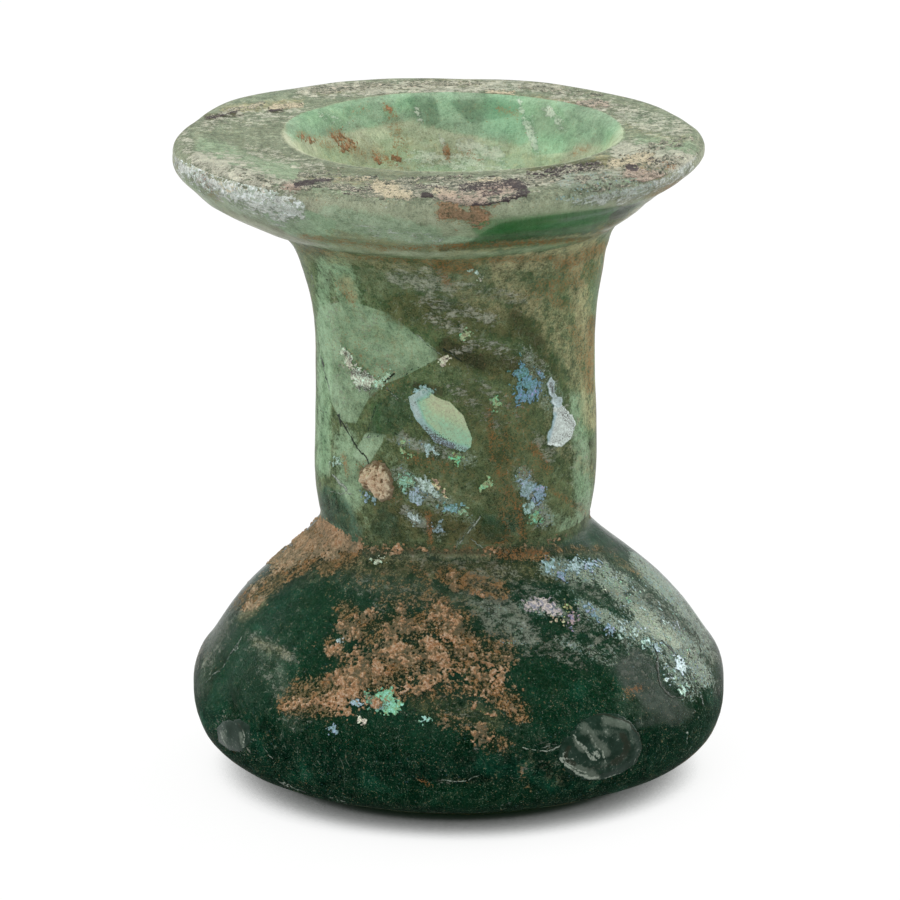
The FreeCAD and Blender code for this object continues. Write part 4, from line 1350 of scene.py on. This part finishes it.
shoulder_flakes = flake_group(
    "shoulder_flakes", "body",
    [
        ([(545, 562), (552, 557), (558, 564), (552, 570), (546, 572)], 0.62, 0.4),
        ([(558, 572), (566, 570), (569, 577), (562, 581), (557, 579)], 0.76, 0.2),
        ([(566, 560), (578, 558), (584, 566), (576, 574), (568, 570)], 0.66, 0.5),
        ([(584, 562), (594, 559), (598, 566), (590, 571), (584, 570)], 0.74, 0.35),
        ([(583, 604), (590, 606), (594, 612), (587, 613)], 0.76, 0.25),
        ([(590, 612), (600, 616), (604, 624), (596, 622)], 0.74, 0.2),
        ([(602, 622), (610, 626), (615, 634), (606, 632)], 0.76, 0.25),
        ([(620, 624), (627, 623), (628, 630), (621, 631)], 0.6, 0.7),
        ([(629, 627), (637, 626), (636, 634), (630, 633)], 0.5, 0.75),
        ([(615, 632), (622, 633), (620, 638)], 0.52, 0.6),
        ([(522, 600), (530, 597), (544, 599), (556, 604), (562, 612), (556, 618), (540, 612),
          (526, 612)], 0.98, 0.55),
        ([(546, 612), (556, 616), (562, 624), (556, 622)], 0.05, 0.4),
        ([(564, 602), (571, 604), (570, 613), (565, 614)], 0.14, 0.05),
        ([(568, 613), (577, 610), (576, 622), (570, 629)], 0.93, 0.1),
        ([(674, 656), (682, 658), (688, 668), (684, 677), (676, 668)], 0.66, 0.65),
        ([(679, 686), (686, 685), (688, 692), (681, 694)], 0.46, 0.6),
        ([(652, 640), (658, 644), (662, 656), (656, 652)], 0.7, 0.45),
        ([(640, 640), (646, 638), (650, 646), (643, 647)], 0.5, 0.5),
    ], 6, 0.03, 0.46, (), 0.1,
)
green_flakes = flake_group(
    "green_flakes", "body",
    [
        ([(366, 694), (378, 692), (388, 688), (393, 687), (395, 697), (402, 706), (396, 714),
          (384, 714), (372, 710), (367, 702)], 0.36, 0.2),
        ([(351, 700), (360, 701), (362, 705), (354, 706)], 0.68, 0.4),
        ([(418, 719), (429, 718), (429, 723), (420, 724)], 0.42, 0.3),
        ([(328, 728), (336, 727), (336, 733), (330, 734)], 0.74, 0.3),
        ([(360, 718), (366, 718), (366, 724), (361, 724)], 0.02, 0.8),
        ([(374, 560), (382, 559), (381, 563), (376, 563)], 0.22, 0.8),
        ([(338, 640), (343, 640), (342, 644)], 0.66, 0.8),
    ], 6, 0.04, 0.42,
    [("hue", 366, 706, 380, 708, 3, 0.6), ("dark", 370, 700, 384, 706, 4, 0.7),
     ("dark", 366, 696, 372, 698, 3, 0.6)],
)

# The pearly layer on the right shoulder is the same skin, still holding on, thin and full of holes.
pearly_outlines = [
    [(606, 566), (640, 572), (675, 610), (704, 650), (714, 690), (700, 700), (690, 660),
     (660, 640), (640, 640), (612, 606), (600, 590)],
    [(650, 640), (668, 636), (684, 650), (693, 672), (690, 694), (678, 698), (664, 688),
     (652, 664)],
]
pearly = skin_near("pearly_layer", "body", pearly_outlines, 5, 6)
spots = places(pearly)
depth = depth_in_any(photo_pixels(spots), pearly_outlines) * pixel_mm
keep = np.minimum(depth, 0.4) + 0.5 * wobble(spots, 1.3 * mm, 131)
keep += 0.7 * wobble(spots, 0.3 * mm, 132) + 0.8 * wobble(spots, 0.14 * mm, 133) - 0.86
crumble(pearly, keep, np.clip(0.02 + 0.03 * wobble(spots, 0.3 * mm, 134), 0.01, 0.05), 0.01)
spots = places(pearly)
mark(pearly, "hue", 0.5 + 0.55 * wobble(spots, 1.6 * mm, 135) + 0.3 * wobble(spots, 0.4 * mm, 136))
mark(pearly, "white", 0.5 + 0.5 * wobble(spots, 0.8 * mm, 137))
mark(pearly, "dark", 0.3 + 0.5 * wobble(spots, 0.6 * mm, 138))

opal, shade = new_material("iridescent_layer")
fine = shade.grain(5.0, detail=4, rough=0.65)
broad = shade.grain(1.3, detail=4, bend=0.5)
grit = shade.grain(11.0, detail=1)
rough_share = 1 - shade.mark("smooth") * 0.75
play = shade.mark("hue") + ((broad - 0.5) * 0.5 + (fine - 0.5) * 0.9) * rough_share
opal_colour = shade.node(
    "ValToRGB", {"Fac": play},
    stops=[
        (0.0, (0.52, 0.28, 0.14)), (0.14, (0.50, 0.50, 0.20)), (0.26, (0.32, 0.50, 0.18)),
        (0.38, (0.07, 0.46, 0.22)), (0.52, (0.13, 0.40, 0.33)), (0.66, (0.12, 0.33, 0.38)),
        (0.80, (0.12, 0.27, 0.43)), (0.92, (0.24, 0.17, 0.38)), (1.0, (0.42, 0.29, 0.27)),
    ],
)
opal_colour = opal_colour.paint(((0.72, 0.77, 0.72), shade.mark("white") * 0.72))
shine = 1.0 + ((fine - 0.5) * 3.6 + (broad - 0.5) * 1.2 + (grit - 0.5) * 1.6) * rough_share
opal_colour = opal_colour.lit((shine * 1.02).most(0.2))
speckle = (shade.mark("dark") * 0.7 + rough_share * 0.2 + (grit - 0.5) * 2.4).step(0.48, 0.60)
opal_colour = opal_colour.paint(((0.05, 0.045, 0.03), speckle * 0.85))
crackle = shade.node(
    "TexVoronoi",
    {"Vector": shade.node("TexCoord", output="Object"), "Scale": 1.8 / mm},
    feature="DISTANCE_TO_EDGE", output="Distance",
)
opal_colour = opal_colour.paint(((0.14, 0.17, 0.11), crackle.step(0.022, 0.0) * 0.4))
bump = shade.node("Bump", {
    "Height": fine * rough_share + crackle.step(0.0, 0.04) * 0.3, "Strength": 0.35,
    "Distance": 0.05 * mm,
})
surface = shade.node("BsdfPrincipled", {
    "Base Color": opal_colour, "Roughness": 0.3 + grit * 0.2, "Metallic": 0.2, "Normal": bump,
    "Coat Weight": 0.15, "Coat Roughness": 0.15,
})
shade.node("OutputMaterial", {"Surface": surface}, output=None)
for piece, node in [
    (large_flake, "flake_neck_large"), (white_flake, "flake_neck_white"),
    (blue_flakes, "flakes_neck_blue"), (yellow_flakes, "flakes_neck_yellow"),
    (small_flakes, "flakes_neck_small"), (shoulder_flakes, "flakes_shoulder_blue"),
    (green_flakes, "flakes_body_green"), (pearly, "pearly_layer_right"),
]:
    piece.data.materials.append(opal)
    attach(piece, "root")
    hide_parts(node)


# Breaks in the glass itself. A blow left a round bruise low on the right of the body, with its
# curved waves still in it, and a smaller one on the left. Fine cracks and scratches run about them.
def strayed(piece, seed):
    """Where a skin falls in the photograph, bent a little, so that straight strokes wander."""
    spots = places(piece)
    bend = np.stack([wobble(spots, 1.1 * mm, seed), wobble(spots, 1.1 * mm, seed + 1)], 1)
    shake = np.stack([wobble(spots, 0.3 * mm, seed + 2), wobble(spots, 0.3 * mm, seed + 3)], 1)
    return photo_pixels(spots) + 3.2 * bend + 1.1 * shake


def arc(middle_x, middle_y, reach_x, reach_y, start, end, half_width, strength):
    """Strokes along part of an oval. Its angles run clockwise from the right, in degrees."""
    angles = np.radians(np.linspace(start, end, 9))
    xs = middle_x + reach_x * np.cos(angles)
    ys = middle_y + reach_y * np.sin(angles)
    return [(xs[i], ys[i], xs[i + 1], ys[i + 1], half_width, strength) for i in range(8)]


def keep_lines(piece, pixels, pale, dark, haze):
    """Keeps a piece's bright lines, dark lines and milky strokes as marks."""
    for label, rows in [("pale_line", pale), ("dark_line", dark), ("haze", haze)]:
        mark(piece, label, stroked(pixels, rows))


def scar_on(name, zone, outlines, pale, dark, haze, dome=0.0):
    """A thin skin of glass inside some outlines, with its bright and dark lines kept as marks."""
    piece = skin_near(name, zone, outlines, 6, 5)
    pixels = pixels_of(piece)
    depth = depth_in_any(pixels, outlines) * pixel_mm
    waves = 0.02 * np.sin(np.linalg.norm(pixels - [590, 760], axis=1) / 3.2)
    lift = 0.02 + dome * ramp(depth, -0.05, 0.6) + waves * (dome > 0) * ramp(depth, 0, 0.5)
    crumble(piece, depth, np.clip(lift, thinnest, 0.3), 0.02)
    keep_lines(piece, strayed(piece, 151), pale, dark, haze)
    return piece


bruise_outline = [
    (562, 741), (572, 731), (582, 720), (600, 713), (618, 714), (631, 722), (639, 734), (642, 748),
    (636, 763), (621, 773), (604, 779), (584, 780), (567, 772), (558, 757),
]
bruise = scar_on(
    "bruise_on_body", "body", [bruise_outline],
    arc(590, 750, 30, 27, 75, 165, 1.3, 1.0) + arc(588, 750, 25, 23, 95, 175, 0.8, 0.8)
    + arc(598, 747, 41, 33, 20, 95, 0.6, 0.6) + arc(618, 728, 40, 40, 125, 160, 0.9, 0.8)
    + [
        (576, 736, 584, 752, 1.2, 0.8), (584, 752, 592, 760, 1.4, 0.9),
        (595, 754, 597, 756, 3, 0.9), (586, 732, 600, 750, 0.7, 0.6),
        (601, 750, 606, 761, 0.9, 0.7), (566, 757, 574, 760, 0.6, 0.6),
        (562, 742, 572, 735, 0.6, 0.5), (612, 754, 624, 757, 0.5, 0.5),
    ],
    arc(600, 747, 42, 34, -120, 30, 0.8, 1.1) + arc(602, 746, 24, 18, -30, 60, 5, 0.7)
    + arc(574, 755, 8, 9, 90, 230, 3, 0.8) + [(588, 770, 610, 764, 3, 0.5)],
    [
        (584, 728, 606, 752, 5, 0.75), (606, 720, 626, 724, 6, 0.75),
        (596, 732, 622, 734, 5, 0.45), (566, 764, 596, 776, 4, 0.9), (576, 740, 582, 752, 3, 0.7),
        (604, 762, 628, 756, 4, 0.4), (630, 732, 636, 748, 3, 0.4),
    ],
    0.12,
)
left_bruise = scar_on(
    "bruise_on_left", "body",
    [[(217, 728), (224, 721), (240, 719), (250, 726), (250, 742), (242, 752), (230, 750),
      (219, 742)]],
    arc(236, 736, 10, 13, -40, 60, 1.0, 0.7) + [(221, 732, 227, 746, 0.7, 0.6)],
    [(238, 722, 246, 730, 1.0, 0.6)],
    [(241, 732, 243, 745, 3, 0.8), (222, 732, 226, 744, 3, 0.6)],
    0.05,
)

body_pale = [
    (208, 682, 226, 662, 0.4, 0.75), (226, 662, 244, 636, 0.4, 0.75),
    (440, 779, 452, 782, 0.6, 0.8), (452, 782, 466, 780, 0.7, 0.9), (466, 780, 480, 776, 0.5, 0.7),
    (522, 746, 540, 750, 0.6, 0.9), (540, 750, 553, 750, 0.8, 1), (553, 750, 564, 742, 0.8, 0.9),
    (544, 747, 556, 745, 0.5, 0.7), (684, 702, 687, 744, 0.4, 0.7), (267, 776, 284, 784, 0.4, 0.7),
    (284, 784, 306, 792, 0.4, 0.7), (488, 805, 522, 803, 0.6, 0.5), (252, 636, 260, 647, 0.6, 0.7),
    (262, 746, 274, 758, 0.5, 0.6), (290, 730, 296, 728, 0.6, 0.6), (600, 666, 616, 673, 0.5, 0.5),
    (588, 690, 612, 690, 0.4, 0.5), (670, 690, 672, 697, 0.5, 0.5), (700, 696, 704, 708, 0.6, 0.6),
    (694, 710, 699, 718, 0.6, 0.7), (622, 692, 624, 700, 0.6, 0.7), (340, 745, 352, 735, 0.4, 0.5),
    (372, 760, 376, 748, 0.4, 0.4), (505, 770, 512, 777, 0.5, 0.5), (330, 797, 349, 803, 0.7, 0.6),
    (656, 652, 658, 668, 0.5, 0.6), (610, 660, 622, 668, 0.4, 0.5), (398, 760, 410, 757, 0.4, 0.5),
]
body_dark = [
    (654, 645, 657, 668, 0.7, 1), (657, 668, 661, 685, 0.8, 1), (661, 685, 670, 696, 0.8, 1),
    (670, 696, 681, 699, 0.8, 1), (681, 699, 689, 693, 0.7, 1), (661, 641, 675, 652, 0.5, 0.8),
    (675, 652, 687, 667, 0.5, 0.8),
]
neck_pale = [
    (338, 414, 352, 434, 0.5, 0.6), (357, 437, 380, 436, 0.6, 0.7), (480, 517, 462, 543, 0.6, 0.9),
    (475, 521, 454, 550, 0.5, 0.8), (478, 520, 469, 534, 1.0, 0.8), (473, 539, 482, 549, 0.5, 0.8),
    (452, 531, 470, 524, 0.5, 0.7), (443, 356, 418, 336, 0.5, 0.7), (418, 336, 392, 314, 0.4, 0.6),
    (462, 400, 490, 397, 0.4, 0.6), (330, 492, 352, 493, 0.6, 0.8), (334, 476, 346, 490, 1.1, 0.9),
    (386, 388, 398, 398, 0.7, 0.7), (320, 356, 331, 392, 0.6, 0.6), (500, 524, 520, 534, 0.5, 0.6),
    (462, 466, 470, 476, 0.5, 0.5), (430, 540, 446, 528, 0.4, 0.6), (560, 500, 584, 514, 0.4, 0.5),
    (300, 264, 308, 284, 0.6, 0.7), (309, 270, 316, 296, 0.5, 0.5),
]
neck_dark = [
    (317, 409, 337, 416, 0.5, 0.7), (337, 416, 354, 441, 0.6, 0.9), (354, 441, 369, 466, 0.7, 1.0),
    (404, 375, 437, 359, 0.4, 0.6), (376, 402, 370, 420, 0.5, 0.6), (370, 420, 368, 436, 0.5, 0.6),
    (389, 377, 394, 374, 1.2, 1.2), (384, 382, 388, 379, 1.0, 1), (323, 358, 325, 366, 0.8, 1),
    (338, 416, 341, 427, 0.8, 0.8), (396, 430, 400, 436, 0.6, 0.8), (444, 350, 462, 362, 0.7, 0.8),
    (376, 436, 384, 410, 0.4, 0.5),
]


def lines_on(name, zone, pale, dark):
    """Fine lines, as wide as each stroke and hardly raised from the glass."""
    rows = pale + dark
    piece = skin_near(name, zone, stroke_shapes(rows), 6, 5)
    keep = stroked(strayed(piece, 161), rows) - 0.5 + 0.3 * wobble(places(piece), 0.3 * mm, 141)
    crumble(piece, keep, np.full(len(keep), thinnest), 0.02)
    keep_lines(piece, strayed(piece, 161), pale, dark, [])
    return piece


body_lines = lines_on("scratches_on_body", "body", body_pale, body_dark)
neck_lines = lines_on("cracks_on_neck", "neck", neck_pale, neck_dark)

scar, shade = new_material("scar_glass")
fine = shade.grain(5.0, detail=4, rough=0.7)
broad = shade.grain(1.2, detail=4)
pale_line = (shade.mark("pale_line") + (fine - 0.5) * 3.0 + (broad - 0.5) * 1.4).step(0.25, 1.05)
dark_line = (shade.mark("dark_line") + (fine - 0.5) * 0.8).step(0.35, 0.75)
haze = (shade.mark("haze") + (fine - 0.5) * 1.0 + (broad - 0.5) * 1.0).step(0.15, 0.9)
scar_colour = shade.node(
    "ValToRGB", {"Fac": broad}, stops=[(0.35, (0.006, 0.024, 0.013)), (0.65, (0.022, 0.050, 0.034))]
)
scar_colour = scar_colour.paint(
    ((0.17, 0.21, 0.165), haze * 0.7),
    ((0.022, 0.028, 0.016), dark_line * 0.85),
    ((0.48, 0.54, 0.45), pale_line * 0.75),
)
bump = shade.node("Bump", {"Height": fine, "Strength": 0.2, "Distance": 0.05 * mm})
surface = shade.node("BsdfPrincipled", {
    "Base Color": scar_colour, "Roughness": 0.2, "Normal": bump, "Specular IOR Level": 0.1,
})
shade.node("OutputMaterial", {"Surface": surface}, output=None)
for piece in [bruise, left_bruise, body_lines, neck_lines]:
    piece.data.materials.append(scar)
    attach(piece, "root")

# The pontil scar under the foot, where the hot iron rod was cracked off. It is the part's own
# solid, and only gets its finish here: broken, glittering glass with old dirt in it.
broken_glass, shade = new_material("pontil_scar_glass")
chipped = shade.grain(1.8, detail=5, rough=0.65)
dirt = shade.grain(4.0, detail=4, rough=0.7)
pontil_colour = shade.node(
    "ValToRGB", {"Fac": chipped},
    stops=[(0.35, (0.02, 0.05, 0.03)), (0.5, (0.07, 0.12, 0.075)), (0.65, (0.20, 0.26, 0.19))],
)
pontil_colour = pontil_colour.paint(((0.22, 0.14, 0.07), dirt.step(0.52, 0.60) * 0.7))
bump = shade.node("Bump", {"Height": chipped + dirt * 0.4, "Strength": 0.7, "Distance": 0.2 * mm})
surface = shade.node("BsdfPrincipled", {
    "Base Color": pontil_colour, "Roughness": 0.3 + dirt * 0.3, "Normal": bump,
})
shade.node("OutputMaterial", {"Surface": surface}, output=None)
pontil = bpy.data.objects["pontil_scar"]
for slot in pontil.material_slots:
    slot.material = broken_glass


# The floor and the light. The jar stands on a white table under soft lamps: one overhead, one in
# front and one low on each side. The table and the world show white behind it without lighting it.
def shows_white(shade):
    """1 for what looks straight at the white, also through glass, and less for its reflection."""
    is_camera = shade.node("LightPath", output="Is Camera Ray")
    is_glossy = shade.node("LightPath", output="Is Glossy Ray")
    is_passing = shade.node("LightPath", output="Is Transmission Ray")
    return is_camera.most(is_glossy * 0.4, is_passing)


bpy.ops.object.select_all(action="DESELECT")
bpy.ops.mesh.primitive_plane_add(size=6, location=(0, 0, -0.00002))
floor = bpy.context.object
floor.name = "floor"
white, shade = new_material("white_floor")
matt = shade.node("BsdfDiffuse", {"Color": (0.62, 0.62, 0.62, 1)})
# A painted shadow: the floor's glow darkens near the jar by ambient occlusion, tilted towards the
# front left, and is not cast by the lamps.
near_sky = shade.node("AmbientOcclusion", {"Distance": 0.7 * mm}, output="AO", samples=8)
far_sky = shade.node(
    "AmbientOcclusion", {"Distance": 3.2 * mm, "Normal": (-0.24, -0.66, 0.71)}, output="AO",
    samples=8,
)
open_sky = near_sky.step(0.05, 0.9) * far_sky.step(0.0, 0.6)
glow = shade.node("Emission", {"Color": open_sky * 0.9, "Strength": 1.0})
thin = shade.node("BsdfDiffuse", {"Color": (0.12, 0.12, 0.12, 1)})
lifted = shade.node("AddShader", {0: thin, 1: glow})
surface = shade.node("MixShader", {0: shows_white(shade), 1: matt, 2: lifted})
shade.node("OutputMaterial", {"Surface": surface}, output=None)
floor.data.materials.append(white)


jar_middle = Vector((0, 0, 25 * mm))


def lamp(name, place, size, power):
    """A square area light, aimed at the middle of the jar."""
    bpy.ops.object.light_add(type="AREA", location=[value * mm for value in place])
    light = bpy.context.object
    light.name = name
    light.data.size = size * mm
    light.data.energy = power
    away = light.location - jar_middle
    light.rotation_euler = away.to_track_quat("Z", "Y").to_euler()


lamp("top_light", (0, 60, 420), 380, 1.0)
lamp("right_light", (370, 230, 110), 320, 1.3)
lamp("left_light", (-390, 130, 110), 300, 0.6)
lamp("front_light", (-120, -420, 330), 340, 0.7)

world = bpy.data.worlds.new("studio")
bpy.context.scene.world = world
shade = emptied(world)
dim = shade.node("Background", {"Color": (1, 1, 1, 1), "Strength": 0.42})
bright = shade.node("Background", {"Color": (1, 1, 1, 1), "Strength": 1.0})
surface = shade.node("MixShader", {0: shows_white(shade), 1: dim, 2: bright})
shade.node("OutputWorld", {"Surface": surface}, output=None)
bpy.context.scene.view_settings.view_transform = "Standard"
